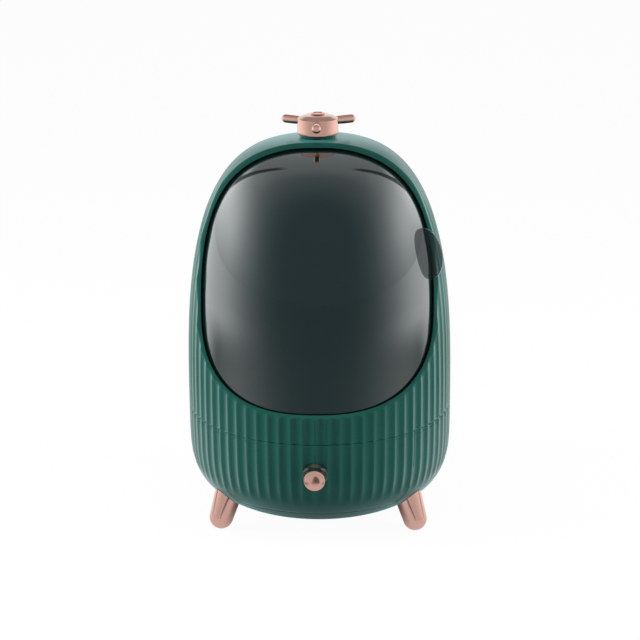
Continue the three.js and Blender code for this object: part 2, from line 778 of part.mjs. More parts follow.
function caseScrew(offset) {
  const length = deckTopZ - deckThickness / 2 - ledgeBottomZ;
  return screw(ledgeBottomZ - fit, length).translate(offset.toArray());
}

// Half-round shelf on two side panels, standing on the deck behind the opening
function innerShelf() {
  const backOf = (shelf) => shelf.intersect(block([-farReach, farReach], [shelfFrontSetback, farReach],
    [deckTopZ, crownZ]));
  const plate = disc(shelfRadius, shelfTopZ - shelfThickness, shelfTopZ, plainSides);
  const lip = block([-farReach, farReach], [shelfFrontSetback, shelfFrontSetback + shelfThickness],
    [shelfTopZ - overrun, shelfTopZ + shelfLipHeight])
    .intersect(disc(shelfRadius, deckTopZ, crownZ, plainSides));
  const panelX = shelfRadius * shelfPanelSpanShare;
  const panelY = shelfFrontSetback + shelfRadius * shelfPanelDepthShare;
  const panel = block([panelX - shelfThickness, panelX], [shelfFrontSetback, panelY],
    [deckTopZ + fit, shelfTopZ - shelfThickness / 2]);
  return backOf(plate).add(lip).add(panel).add(panel.mirror([1, 0, 0]));
}

// Node of the assembly: a solid with its finish, under its own name
function node(name, body, finish) {
  const { vertProperties, triVerts } = body.getMesh();
  const geometry = new THREE.BufferGeometry();
  geometry.setAttribute('position', new THREE.BufferAttribute(vertProperties, 3));
  geometry.setIndex(new THREE.BufferAttribute(triVerts, 1));
  geometry.computeVertexNormals();
  const mesh = new THREE.Mesh(geometry, new THREE.MeshStandardMaterial(finish));
  mesh.name = name;
  return mesh;
}

const { greenCase, greenInner, smokedAcrylic, clearAcrylic, roseGold, paleNylon, screwSteel } = finishes;
const legNames = ['front_right', 'rear_right', 'rear_left', 'front_left'];

const box = new THREE.Group();
box.add(
  node('upper_shell', upperShell(), greenCase),
  node('base_shell', baseShell(), greenCase),
  node('base_plate', basePlate(), greenInner),
  node('deck', deck(), greenInner),
  node('visor_track', visorTrack(), paleNylon),
  node('inner_shelf', innerShelf(), greenInner),
  node('visor', visor(), smokedAcrylic),
  node('visor_tab', visorTab(), clearAcrylic),
  node('pivot_pin', pivotPin(), screwSteel),
  node('pivot_washer', pivotWasher(), paleNylon),
  node('hub_collar', hubCollar(), greenCase),
  node('propeller_hub', propellerHub(), roseGold),
  ...bladeAngles().map((angle, i) => node(`propeller_blade_${i + 1}`, propellerBlade(angle), roseGold)),
  node('propeller_cap', propellerCap(), roseGold),
  node('drawer_front', drawerFront(), greenCase),
  node('drawer_tray', drawerTray(), greenInner),
  node('drawer_divider_long', longDivider(), greenInner),
  node('drawer_divider_cross', crossDivider(), greenInner),
  node('drawer_knob', drawerKnob(), roseGold),
  node('knob_screw', knobScrew(), screwSteel),
  node('drawer_runner_right', drawerRunner(1), paleNylon),
  node('drawer_runner_left', drawerRunner(-1), paleNylon),
  node('drawer_stop', drawerStop(), greenInner),
  ...legPlaces().map((angle, i) => node(`leg_${legNames[i]}`, leg(angle), roseGold)),
  ...legPlaces().map((angle, i) => node(`leg_screw_${legNames[i]}`, legScrew(angle), screwSteel)),
  ...caseScrewPlaces().map((at, i) => node(`case_screw_${i + 1}`, caseScrew(at), screwSteel)),
);

// The origin lies on the table, under the middle of the depth from knob to back
box.position.y = (fit + knobLength) / 2;

export default box;
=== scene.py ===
import json
import math

import bmesh
import bpy
import numpy as np
from bpy.props import FloatProperty, FloatVectorProperty, IntProperty, PointerProperty
from bpy.types import Operator, Panel, PropertyGroup
from mathutils import Matrix, Vector

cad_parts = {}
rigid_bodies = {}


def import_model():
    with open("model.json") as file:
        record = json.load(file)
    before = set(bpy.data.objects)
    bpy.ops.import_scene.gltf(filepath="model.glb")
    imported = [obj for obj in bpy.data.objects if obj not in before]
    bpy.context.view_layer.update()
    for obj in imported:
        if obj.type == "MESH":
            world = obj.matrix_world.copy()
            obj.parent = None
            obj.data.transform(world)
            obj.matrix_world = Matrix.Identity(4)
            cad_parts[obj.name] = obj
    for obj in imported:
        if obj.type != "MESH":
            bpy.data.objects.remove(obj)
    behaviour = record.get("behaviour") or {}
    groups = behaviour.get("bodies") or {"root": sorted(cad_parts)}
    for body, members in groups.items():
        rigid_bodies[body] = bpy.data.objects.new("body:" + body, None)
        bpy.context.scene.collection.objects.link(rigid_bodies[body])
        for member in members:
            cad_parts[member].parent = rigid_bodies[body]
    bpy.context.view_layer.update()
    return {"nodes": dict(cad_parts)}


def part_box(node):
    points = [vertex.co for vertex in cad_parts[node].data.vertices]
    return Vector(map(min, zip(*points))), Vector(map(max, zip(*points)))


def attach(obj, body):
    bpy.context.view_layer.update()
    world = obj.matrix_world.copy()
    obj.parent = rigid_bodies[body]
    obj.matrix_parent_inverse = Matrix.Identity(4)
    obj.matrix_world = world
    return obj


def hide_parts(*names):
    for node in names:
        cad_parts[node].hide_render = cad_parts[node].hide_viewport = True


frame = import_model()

bl_info = {
    "name": "Cosmetic Organizer Box",
    "version": (1, 0, 0),
    "blender": (4, 5, 0),
    "location": "View3D > Sidebar > Organizer",
    "description": "Builds the fluted organizer box around its packed model",
    "category": "Add Mesh",
}

# Sizes are in millimetres about the case's upright axis until a piece is made.
MM = 0.001
plate_low, plate_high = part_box("base_plate")
AXIS = Vector(((plate_low.x + plate_high.x) / 2, (plate_low.y + plate_high.y) / 2, 0))

# The egg that the case's skins are cut from
BODY_RADIUS = 109.0
BOTTOM = 16.0
WAIST = 90.0
CROWN = 315.5
HEEL = 8.0
WALL = 3.5
UPPER_POWERS = (2.9, 3.1)
LOWER_POWERS = (4.0, 3.07)

# Joint line and flanges
UPPER_BOTTOM = 92.2
LOWER_TOP = 91.8
FLANGE_TOP = 95.2
FLANGE_WIDTH = 8.5
LEDGE_BOTTOM = 87.8
SEAM_EDGE = 0.2

# Opening of the upper chamber
OPENING_HALF_WIDTH = 97.6
OPENING_SILL = 113.1
OPENING_TOP_SETBACK = 22.6
OPENING_WIDEST_SHARE = 0.37
OPENING_POWERS = (2.56, 2.94)
RIM_FOCUS_FORWARD = 0.66
RIM_FOCUS_SHARES = (0.16, 0.6)
RIM_EDGE = 0.6
CROWN_HOLE = 2.8

# Drawer
DRAWER_SILL = 29.3
DRAWER_SEAM = 74.4
DRAWER_GAP = 0.4
DRAWER_REACH = math.radians(55)
KNOB_HEIGHT = 66.8

# Legs and screws
LEG_REACH = 98.0
LEG_SPLAY = 20.5
LEG_FOOT_RADIUS = 9.8
LEG_FLAT = 0.5
LEG_PAIRS = {"Near": math.radians(54.3), "Far": math.radians(125.7)}
LEG_PLACES = ("front_right", "rear_right", "rear_left", "front_left")
CASE_SCREW_PAIRS = {"Near": math.radians(72), "Far": math.radians(150)}

# Mesh
FIT = 0.3
COLUMNS_PER_FLUTE = 8
LOW_ROWS, HIGH_ROWS = 36, 26
SCREEN_ROWS = 64
WARP = 6
SKIN_SHARP = 62
HALVINGS = 40
TOUCHING = 1e-6
CUT_TOLERANCE = 1e-7
FULL_TURN = 2 * math.pi

WHITE = (1, 1, 1, 1)


def placed(points):
    """Millimetres about the axis as metres in the row frame."""
    return np.asarray(points, float) * MM + np.array(AXIS)


class Meridian:
    """The egg's outline from its underside to its crown, moved inwards by an inset."""

    LOWER_STEPS = 1500
    UPPER_STEPS = 3000

    def __init__(self, inset=0.0):
        floor = math.asin(((WAIST - BOTTOM) / (WAIST - HEEL)) ** (LOWER_POWERS[0] / 2))
        lower = self.outline(np.linspace(floor, 0, self.LOWER_STEPS), HEEL, LOWER_POWERS, inset)
        upper = self.outline(np.linspace(0, math.pi / 2, self.UPPER_STEPS), CROWN, UPPER_POWERS, inset)
        radius, height = np.concatenate([lower, upper[:, 1:]], axis=1)
        self.radius, self.height = radius, np.maximum(height, BOTTOM + inset)
        steps = np.hypot(np.diff(self.radius), np.diff(self.height))
        self.along = np.concatenate([[0], np.cumsum(steps)])

    @staticmethod
    def outline(angles, end, powers, inset):
        """Radii and heights from the waist to one end of the egg."""
        reach = end - WAIST
        height_power, radius_power = powers
        across = np.maximum(np.cos(angles), 0) ** (2 / radius_power)
        up = np.sin(angles) ** (2 / height_power)
        normal = np.array([
            radius_power / BODY_RADIUS * across ** (radius_power - 1),
            height_power / reach * up ** (height_power - 1),
        ])
        normal /= np.hypot(*normal)
        return np.array([BODY_RADIUS * across, WAIST + reach * up]) - inset * normal

    def at(self, along):
        """Radius and height at a place, which is a distance along the outline from its foot."""
        return np.interp(along, self.along, self.radius), np.interp(along, self.along, self.height)

    def where_height(self, height):
        return np.interp(height, self.height, self.along)

    def where_radius(self, radius):
        """Place above the waist at which the outline has a radius."""
        return np.interp(-radius, -self.radius[self.LOWER_STEPS:], self.along[self.LOWER_STEPS:])

    def radius_at(self, height):
        return self.at(self.where_height(height))[0]

    def nearest(self, radius, height):
        """Place on the outline nearest to each pair of radius and height."""
        far = (self.radius[:, None] - radius) ** 2 + (self.height[:, None] - height) ** 2
        return self.along[far.argmin(axis=0)]

    def normal(self, along):
        """Radial and upward parts of the outward normal."""
        step = 0.2
        back, ahead = self.at(along - step), self.at(along + step)
        rise, fall = ahead[1] - back[1], back[0] - ahead[0]
        size = np.hypot(rise, fall)
        return rise / size, fall / size


OUTER, INNER = Meridian(), Meridian(WALL)


def around(angle, radius, height):
    """Points about the axis: angles start at the front and run to the right."""
    angle, radius, height = np.broadcast_arrays(angle, radius, height)
    return np.stack([radius * np.sin(angle), -radius * np.cos(angle), height], axis=-1)


def inward(angles):
    """Level directions towards the axis."""
    return -around(angles, 1.0, 0.0)


def turned_about_axis(points):
    """Angle about the axis and distance from it."""
    return np.arctan2(points[..., 0], -points[..., 1]), np.hypot(points[..., 0], points[..., 1])


def even_turn(steps):
    """Evenly spaced angles round the whole turn."""
    return np.linspace(0, FULL_TURN, steps, endpoint=False)


def still_true(test, count, far):
    """How far along each of some lines a test stays true, found by halving a range that ends at far."""
    near, far = np.zeros(count), np.full(count, far)
    for _ in range(HALVINGS):
        middle = (near + far) / 2
        true = test(middle)
        near, far = np.where(true, middle, near), np.where(true, far, middle)
    return far


def unit(vectors):
    return vectors / np.linalg.norm(vectors, axis=-1, keepdims=True)


def between(first, second, share):
    """What lies at a share of the way from first to second: numbers, arrays or node values."""
    return first + (second - first) * share


class Shape:
    """Points in millimetres about the case's axis, and the faces over them."""

    def __init__(self):
        self.points, self.press, self.faces = [], [], []

    def add(self, points, press=None):
        """Adds points and returns their numbers. press is where a flute pushes each of them."""
        points = np.asarray(points, float).reshape(-1, 3)
        start = sum(map(len, self.points))
        self.points.append(points)
        self.press.append(np.zeros_like(points) if press is None else press)
        return np.arange(start, start + len(points))

    def ring(self, angles, radius, height, press=None):
        """Adds a row of points about the axis."""
        return self.add(around(angles, radius, height), press)

    def rows(self, angles, outline, places, press=None):
        """Adds a row of points at each of some places on an outline."""
        return [self.ring(angles, *outline.at(place), press) for place in places]

    def bridge(self, first, second, closed=True):
        """Quads between two rows of as many points each."""
        count = len(first)
        for i in range(count if closed else count - 1):
            j = (i + 1) % count
            self.faces.append((first[i], first[j], second[j], second[i]))

    def join(self, rows, closed=True, round_again=False):
        """Bridges each row to the next, and with round_again the last to the first."""
        for one, other in zip(rows, [*rows[1:], rows[0]] if round_again else rows[1:]):
            self.bridge(one, other, closed)

    def fan(self, ring, centre):
        """Closes a ring of points on one centre point."""
        for i in range(len(ring)):
            self.faces.append((ring[i], ring[(i + 1) % len(ring)], centre))

    def lathe(self, profile, steps, place=None):
        """Turns pairs of radius and height about the axis, or about the axis of a matrix.

        A profile that keeps clear of the axis is closed on itself.
        """
        angles = even_turn(steps)
        rings = []
        for radius, height in profile:
            points = around(angles, radius, height) if radius > 0 else [[0, 0, height]]
            rings.append(self.add([place @ Vector(point) for point in points] if place else points))
        for low, high in zip(rings, rings[1:]):
            if len(low) == 1:
                self.fan(high, low[0])
            elif len(high) == 1:
                self.fan(low, high[0])
            else:
                self.bridge(low, high)
        if profile[0][0] > 0:
            self.bridge(rings[-1], rings[0])

    def object(self, name):
        """A closed mesh object whose faces point outwards, not yet in the scene."""
        mesh = bpy.data.meshes.new(name)
        faces = [tuple(map(int, face)) for face in self.faces]
        mesh.from_pydata(placed(np.concatenate(self.points)).tolist(), [], faces)
        press = mesh.attributes.new("press", "FLOAT_VECTOR", "POINT")
        press.data.foreach_set("vector", np.concatenate(self.press).astype(np.float32).ravel())
        edited(mesh, lambda bm: bmesh.ops.recalc_face_normals(bm, faces=bm.faces))
        return bpy.data.objects.new(name, mesh)


def edited(mesh, work):
    """Runs work on a mesh as a bmesh."""
    bm = bmesh.new()
    bm.from_mesh(mesh)
    work(bm)
    bm.to_mesh(mesh)
    bm.free()
    mesh.update()


def linked(obj):
    """Puts an object in the scene, unless it is there."""
    objects = bpy.context.scene.collection.objects
    if obj.name not in objects:
        objects.link(obj)
    return obj


def plain_mesh(obj):
    """Applies the modifiers: the object keeps only the mesh that they make."""
    linked(obj)
    bpy.context.view_layer.update()
    evaluated = obj.evaluated_get(bpy.context.evaluated_depsgraph_get())
    mesh = bpy.data.meshes.new_from_object(evaluated)
    obj.modifiers.clear()
    old, obj.data = obj.data, mesh
    mesh.name = obj.name
    bpy.data.meshes.remove(old)
    return obj


def grown(obj, finish, tree, **values):
    """Runs a geometry tree with its inputs set by identifier, and keeps its result as a plain mesh."""
    values.update(Axis=tuple(AXIS), Finish=bpy.data.materials[finish])
    modifier = obj.modifiers.new("tree", "NODES")
    modifier.node_group = tree
    for item in tree.interface.items_tree:
        if item.item_type == "SOCKET" and item.in_out == "INPUT" and item.name in values:
            modifier[item.identifier] = values[item.name]
    return plain_mesh(obj)


def finished(obj, finish, body, slot, *nodes, sharp=50):
    """Gives a piece its material and shading, and says what it rides on and stands for."""
    mesh = linked(obj).data
    mesh.materials.clear()
    mesh.materials.append(bpy.data.materials[finish])
    mesh.polygons.foreach_set("material_index", [0] * len(mesh.polygons))
    mesh.shade_smooth()
    mesh.set_sharp_from_angle(angle=math.radians(sharp))
    if "press" in mesh.attributes:
        mesh.attributes.remove(mesh.attributes["press"])
    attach(obj, body)
    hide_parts(*nodes)


# Node trees


class Value:
    """A socket in node maths. An operation on it adds its Math node."""

    def __init__(self, tree, socket):
        self.tree, self.socket = tree, socket

    def math(self, operation, *others):
        return self.tree.math(operation, self, *others)

    def __add__(self, other):
        return self.math("ADD", other)

    def __sub__(self, other):
        return self.math("SUBTRACT", other)

    def __rsub__(self, other):
        return self.tree.math("SUBTRACT", other, self)

    def __mul__(self, other):
        return self.math("MULTIPLY", other)

    def __truediv__(self, other):
        return self.math("DIVIDE", other)

    def __pow__(self, other):
        return self.math("POWER", other)

    def __abs__(self):
        return self.math("ABSOLUTE")

    __radd__, __rmul__ = __add__, __mul__


class Tree:
    """A node tree that is written as expressions."""

    def __init__(self, node_tree):
        self.node_tree = node_tree

    def node(self, kind, sockets=None, **settings):
        """Adds a node: first its settings, then the values or links of its sockets."""
        node = self.node_tree.nodes.new(kind)
        for name, setting in settings.items():
            setattr(node, name, setting)
        for key, value in (sockets or {}).items():
            if isinstance(value, Value):
                self.node_tree.links.new(value.socket, node.inputs[key])
            else:
                node.inputs[key].default_value = value
        return node

    def value(self, kind, sockets=None, output=0, **settings):
        return Value(self, self.node(kind, sockets, **settings).outputs[output])

    def values(self, kind, sockets=None, outputs=(0, 1, 2)):
        """Several outputs of one node."""
        node = self.node(kind, sockets)
        return [Value(self, node.outputs[output]) for output in outputs]

    def math(self, operation, *terms):
        return self.value("ShaderNodeMath", dict(enumerate(terms)), operation=operation)

    def vector(self, operation, *terms):
        """Vector maths. The second term of SCALE is a number."""
        keys = (0, "Scale") if operation == "SCALE" else (0, 1)
        return self.value("ShaderNodeVectorMath", dict(zip(keys, terms)), operation=operation)

    def split(self, vector):
        """The three parts of a vector."""
        return self.values("ShaderNodeSeparateXYZ", {0: vector})

    def smoothstep(self, value, low, high, start=0.0, end=1.0):
        sockets = {0: value, 1: low, 2: high, 3: start, 4: end}
        return self.value("ShaderNodeMapRange", sockets, interpolation_type="SMOOTHSTEP")

    def noise(self, coordinates, scale, detail):
        return self.value("ShaderNodeTexNoise", {"Vector": coordinates, "Scale": scale, "Detail": detail})

    def facing(self):
        """Goes from 0 to 1 as a surface turns away from the eye."""
        return self.value("ShaderNodeLayerWeight", {"Blend": 0.5}, output=1)

    def blend(self, share, first, second):
        """Mixes two colours."""
        return self.value("ShaderNodeMix", {0: share, 6: first, 7: second}, output=2, data_type="RGBA")


def geometry_tree(name, inputs, build):
    """A geometry tree with named inputs that ends in Realize Instances and Set Material."""
    node_tree = bpy.data.node_groups.new(name, "GeometryNodeTree")
    node_tree.interface.new_socket("Geometry", in_out="INPUT", socket_type="NodeSocketGeometry")
    node_tree.interface.new_socket("Geometry", in_out="OUTPUT", socket_type="NodeSocketGeometry")
    for label, kind in inputs.items():
        node_tree.interface.new_socket(label, in_out="INPUT", socket_type=kind)
    node_tree.interface.new_socket("Finish", in_out="INPUT", socket_type="NodeSocketMaterial")
    tree = Tree(node_tree)
    entry = tree.node("NodeGroupInput")
    given = {socket.name: Value(tree, socket) for socket in entry.outputs if socket.name}
    geometry = build(tree, given)
    realized = tree.value("GeometryNodeRealizeInstances", {0: geometry})
    dressed = tree.value("GeometryNodeSetMaterial", {"Geometry": realized, "Material": given["Finish"]})
    tree.node("NodeGroupOutput", {0: dressed})
    return node_tree


def flute_tree():
    """Presses upright flutes into a skin, along each point's own press direction.

    Its inputs are the skin settings, in the order in which they are declared.
    """

    def build(tree, given):
        position = tree.value("GeometryNodeInputPosition")
        x, y, z = tree.split(tree.vector("SUBTRACT", position, given["Axis"]))
        count, depth, foot, head, foot_fade, head_fade = (given[name] for name in settings)
        angle = tree.math("ARCTAN2", x, 0 - y)
        hollow = abs((angle * count / 2).math("SINE"))
        deepen = tree.smoothstep(z, foot, foot + foot_fade)
        run_out = tree.smoothstep(z, head - head_fade, head, 1.0, 0.0)
        press = tree.value("GeometryNodeInputNamedAttribute", {"Name": "press"}, data_type="FLOAT_VECTOR")
        push = tree.vector("SCALE", press, hollow * depth * deepen * run_out)
        return tree.value("GeometryNodeSetPosition", {"Geometry": given["Geometry"], "Offset": push})

    settings = OrganizerSkinSettings.__annotations__
    inputs = {name: "NodeSocketInt" if name == "flute_count" else "NodeSocketFloat" for name in settings}
    return geometry_tree("flutes", {**inputs, "Axis": "NodeSocketVector"}, build)


def copies_tree(name, inputs, angle):
    """Copies a piece about the case's upright axis, at the angle that each copy's number gives."""

    def build(tree, given):
        number = tree.value("GeometryNodeInputIndex")
        spot = tree.value("GeometryNodePoints", {"Count": given["Count"], "Position": given["Axis"]})
        home = tree.vector("SCALE", given["Axis"], -1.0)
        piece = tree.value("GeometryNodeTransform", {"Geometry": given["Geometry"], "Translation": home})
        turn = tree.value("ShaderNodeCombineXYZ", {2: angle(given, number)})
        sockets = {"Points": spot, "Instance": piece, "Rotation": turn}
        return tree.value("GeometryNodeInstanceOnPoints", sockets)

    kinds = {label: "NodeSocketFloat" for label in inputs}
    return geometry_tree(name, {"Count": "NodeSocketInt", **kinds, "Axis": "NodeSocketVector"}, build)


def ring_tree():
    """Evenly spaced copies round the whole turn."""
    return copies_tree("ring_of_copies", (), lambda given, number: number * FULL_TURN / given["Count"])


def pairs_tree():
    """Four copies: one at the near angle and one at the far angle, on the right and on the left."""

    def angle(given, number):
        left = number.math("GREATER_THAN", 1.5)
        far = abs(number - 1.5).math("LESS_THAN", 1.0)
        return between(given["Near"], given["Far"], far) * (1 - left * 2)

    return copies_tree("mirrored_pairs", ("Near", "Far"), angle)


# Finishes


def new_finish(name, build):
    material = bpy.data.materials.new(name)
    material.use_nodes = True
    material.node_tree.nodes.clear()
    tree = Tree(material.node_tree)
    shader = build(tree, tree.value("ShaderNodeTexCoord", output="Object"))
    tree.node("ShaderNodeOutputMaterial", {"Surface": shader})


def surface(tree, **sockets):
    names = {name.replace("_", " "): value for name, value in sockets.items()}
    return tree.value("ShaderNodeBsdfPrincipled", names)


def bump(tree, height, strength, distance):
    return tree.value("ShaderNodeBump", {"Height": height, "Strength": strength, "Distance": distance})


def shade(colour, factor):
    """A colour made darker or lighter."""
    return tuple(channel * factor for channel in colour[:3]) + (1.0,)


def moulded_plastic(colour, rough, grain_strength, polish=0.0, haze=0.0):
    """Satin moulded plastic with a fine spark grain and faint flow marks.

    Its turned-away sides have a polish. Towards the heel and the crown it is duller, and its colour is
    darker there: painted shade.
    """

    def build(tree, coordinates):
        grain = tree.noise(coordinates, scale=2400, detail=2)
        flow = tree.noise(coordinates, scale=38, detail=3)
        sheen = tree.noise(coordinates, scale=160, detail=2)
        height = tree.split(coordinates)[2]
        # heel and crown are masks of painted shade: they darken the colour towards the bottom and the top,
        # and take the polish away there
        heel = tree.smoothstep(height, 0.03, 0.06)
        crown = tree.smoothstep(height, 0.3, 0.26, 0.35, 1.0)
        paint = tree.blend(flow, shade(colour, 0.9), shade(colour, 1.1))
        return surface(
            tree,
            Base_Color=tree.blend(heel * crown, shade(colour, 0.6), paint),
            Roughness=rough + (sheen - 0.5) * 0.1 + (grain - 0.5) * 0.06,
            IOR=1.45,
            Specular_Tint=(0.4, 1.0, 1.0, 1),
            Coat_Weight=tree.smoothstep(tree.facing(), 0.2, 0.7) * heel * crown * polish,
            Coat_IOR=2.0,
            Coat_Roughness=0.18,
            Sheen_Weight=haze,
            Sheen_Roughness=0.4,
            Sheen_Tint=(0.25, 0.85, 0.85, 1),
            Normal=bump(tree, grain, grain_strength, distance=0.0001),
        )

    return build


def acrylic(colour, alpha, rough):
    """Smoked sheet: glossy, slightly see-through, and more mirror-like towards its turned-away sides."""

    def build(tree, coordinates):
        haze = tree.noise(coordinates, scale=24, detail=4)
        wave = tree.noise(coordinates, scale=9, detail=1)
        return surface(
            tree,
            Base_Color=tree.blend(wave, shade(colour, 0.92), shade(colour, 1.08)),
            Roughness=rough + haze * 0.03,
            IOR=1.49,
            Specular_Tint=(0.62, 0.95, 1.0, 1),
            Coat_Weight=tree.smoothstep(tree.facing(), 0.03, 0.4),
            Coat_IOR=2.4,
            Coat_Roughness=0.05,
            Alpha=alpha + (haze - 0.5) * 0.02,
            Normal=bump(tree, wave, strength=0.04, distance=0.0004),
        )

    return build


def polished_metal(colour, rough, grain, scale):
    """Plated metal: its polish leaves a fine uneven grain, and the top of the propeller's hub is matt."""

    def build(tree, coordinates):
        marks = tree.noise(coordinates, scale, detail=3)
        cloud = tree.noise(coordinates, scale=90, detail=2)
        matt = tree.smoothstep(tree.split(coordinates)[2], 0.3302, 0.3312) * 0.28
        return surface(
            tree,
            Base_Color=tree.blend(cloud, shade(colour, 0.95), shade(colour, 1.04)),
            Metallic=1.0,
            Roughness=rough + matt + (cloud - 0.5) * 0.06 + (marks - 0.5) * 0.05,
            Normal=bump(tree, marks, grain, distance=0.00005),
        )

    return build


# Settings


def length_setting(name, description, default, **limits):
    return FloatProperty(
        name=name, description=description, default=default, unit="LENGTH", subtype="DISTANCE", **limits
    )


def colour_setting(name, description, default):
    return FloatVectorProperty(
        name=name, description=description, default=default, subtype="COLOR", size=4, min=0, max=1
    )


class OrganizerSkinSettings(PropertyGroup):
    flute_count: IntProperty(
        name="Flutes", description="Upright flutes round the case", default=72, min=12, max=120
    )
    flute_depth: length_setting("Flute depth", "Depth at a flute's middle", 1.3 * MM, min=0, max=3 * MM)
    flute_foot: length_setting("Flute foot", "Height at which the flutes begin", 38 * MM)
    flute_head: length_setting("Flute head", "Height at which the flutes end", 302.5 * MM)
    foot_fade: length_setting("Foot fade", "Height over which the flutes deepen", 12 * MM)
    head_fade: length_setting("Head fade", "Height over which the flutes run out", 55 * MM)


class OrganizerFinishSettings(PropertyGroup):
    case_green: colour_setting("Case green", "Colour of the outer plastic", (0.0060, 0.0620, 0.0460, 1))
    inner_green: colour_setting("Inner green", "Colour of the inner plastic", (0.0055, 0.0460, 0.0350, 1))
    smoked: colour_setting("Smoked acrylic", "Colour of the visor", (0.0045, 0.0100, 0.0100, 1))
    tab_clear: colour_setting("Clear acrylic", "Colour of the visor's finger tab", (0.010, 0.016, 0.016, 1))
    rose_gold: colour_setting("Rose gold", "Colour of the polished plating", (0.80, 0.495, 0.43, 1))
    nylon: colour_setting("Pale nylon", "Colour of the runners and the track", (0.68, 0.67, 0.63, 1))
    steel: colour_setting("Screw steel", "Colour of the screws and the pivot pin", (0.45, 0.46, 0.48, 1))


class OrganizerStageSettings(PropertyGroup):
    floor_size: length_setting("Floor size", "Side of the pale floor", 24.0)
    world_level: FloatProperty(name="World", description="Soft light from all sides", default=0.5, min=0)
    lamp_level: FloatProperty(name="Lamps", description="Scale of the softboxes", default=1.0, min=0)


# Stage


def floor_look(tree, coordinates):
    """White to the eye, and shaded where polished pieces mirror it."""
    step = tree.smoothstep
    camera, glossy = tree.values("ShaderNodeLightPath", outputs=("Is Camera Ray", "Is Glossy Ray"))
    x, y = tree.split(coordinates)[:2]
    away = (x ** 2.0 + y ** 2.0) ** 0.5

    # Three bands, each with its own level in front, at the side and behind, and a painted shadow under the
    # case in what polished pieces mirror of the floor
    front = 0 - y / away
    side = step(front, 0.9, -0.5)
    rear = step(front, -0.1, -0.5)
    behind = step(front, -0.97, -0.85, 0.4, 1.0)
    near, far = (0.78 + side * 0.4) * behind, (0.64 + side * 0.66) * behind
    middle = 0.68 - side * 0.5 + rear * 0.9
    level = between(near, middle, step(away - rear * 0.13, 0.3, 0.45))
    level = between(level, far, step(away, 0.6, 1.1))
    # Painted shadow: the mirrored floor darkens close under the case
    level = level * step(away, 0.055, 0.105, 0.2, 1.0)

    # Two dark patches before the front legs and a dark wedge before the knob, in low views only: painted
    # dark reflections, which the legs and the knob show as dark streaks
    aside = abs(x)
    patch = step(abs(y + 0.215), 0.05, 0.02)
    patch = patch * step(abs(aside - 0.076), 0.055, 0.028)
    low = step(tree.facing(), 0.45, 0.6)
    wedge = step(aside - (y + 0.26) * 0.06, 0.02, 0.012)
    wedge = wedge * step(y, -0.25, -0.265) * step(y, -0.46, -0.38)
    mirrored = level * (1 - patch * low * 0.95) * (1 - wedge * low * 0.9)

    paint = tree.blend(camera, (0.4, 0.4, 0.4, 1), (0.9, 0.9, 0.9, 1))
    lit = surface(tree, Base_Color=paint, Roughness=0.9)
    strength = between(camera, 1, mirrored)
    white = tree.value("ShaderNodeEmission", {"Color": WHITE, "Strength": strength})
    seen = tree.math("MAXIMUM", camera, glossy)
    return tree.value("ShaderNodeMixShader", {0: seen * 0.96, 1: lit, 2: white})


def world_strength(tree, level):
    """White to the eye. Glossy pieces mirror a room with pale sides, a darker top and an even ceiling."""
    step = tree.smoothstep
    x, y, z = tree.split(tree.value("ShaderNodeTexCoord", output="Generated"))
    level_part = (x ** 2.0 + y ** 2.0 + 0.0001) ** 0.5

    # A band that is brightest at the sides, under a darker top
    side = step(0 - y / level_part, 0.9, -0.5)
    band = step(z, -0.15, 0.2, 0.1, 1.15) * step(z, 0.65, 0.2)
    top = step(z, 0.5, 0.9) * step(y, -0.5, 0.0)
    back = step(y / level_part, 0.75, 0.95)
    right = step(x / level_part, 0.3, 0.7) * step(y / level_part, 0.8, 0.4)
    room = 0.68 + side * band * (1 - back * 0.6) * (1 - right * 0.25) * 0.9 - top * 0.22

    # An even ceiling behind a slanted line, and a dark gap at each end of that line
    over = z + y * 1.719 - 1.489
    ceiling = step(over, -0.03, 0.03) * step(z, 0.42, 0.6)
    gap = step(abs(over), 0.08, 0.04) * step(abs(x), 0.3, 0.45)
    room = between(room, 0.42, ceiling) * (1 - gap * step(z, 0.1, 0.3) * 0.85)

    rays = ("Is Camera Ray", "Is Glossy Ray", "Is Transmission Ray")
    camera, glossy, through = tree.values("ShaderNodeLightPath", outputs=rays)
    white = tree.math("MAXIMUM", camera, through)
    return white + (1 - white) * room * between(glossy, 1, level)


def set_camera(context):
    """The camera that the photograph was taken with, as fitted to the case's outline."""
    data = bpy.data.cameras.new("camera")
    data.sensor_width, data.lens = 36, 102.39
    data.shift_x, data.shift_y = 0.0012, -0.0008
    data.clip_start, data.clip_end = 0.05, 100
    camera = linked(bpy.data.objects.new("camera", data))
    yaw, tilt, roll = map(math.radians, (2.25, 90 - 16.97, -0.42))
    turn = Matrix.Rotation(yaw, 4, "Z") @ Matrix.Rotation(tilt, 4, "X") @ Matrix.Rotation(roll, 4, "Z")
    distance, height = 1.441, 0.6017
    spot = AXIS + Vector((distance * math.sin(yaw), -distance * math.cos(yaw), height))
    camera.matrix_world = Matrix.Translation(spot) @ turn
    context.scene.camera = camera


def set_floor(size):
    new_finish("pale_floor", floor_look)
    half, height = size / 2, -0.0002
    mesh = bpy.data.meshes.new("floor")
    corners = [(-half, -half, height), (half, -half, height), (half, half, height), (-half, half, height)]
    mesh.from_pydata(corners, [], [(0, 1, 2, 3)])
    mesh.materials.append(bpy.data.materials["pale_floor"])
    floor = linked(bpy.data.objects.new("floor", mesh))


def set_world(context, level):
    world = bpy.data.worlds.new("studio")
    world.use_nodes = True
    world.node_tree.nodes.clear()
    tree = Tree(world.node_tree)
    strength = world_strength(tree, level)
    background = tree.value("ShaderNodeBackground", {"Color": WHITE, "Strength": strength})
    tree.node("ShaderNodeOutputWorld", {"Surface": background})
    context.scene.world = world


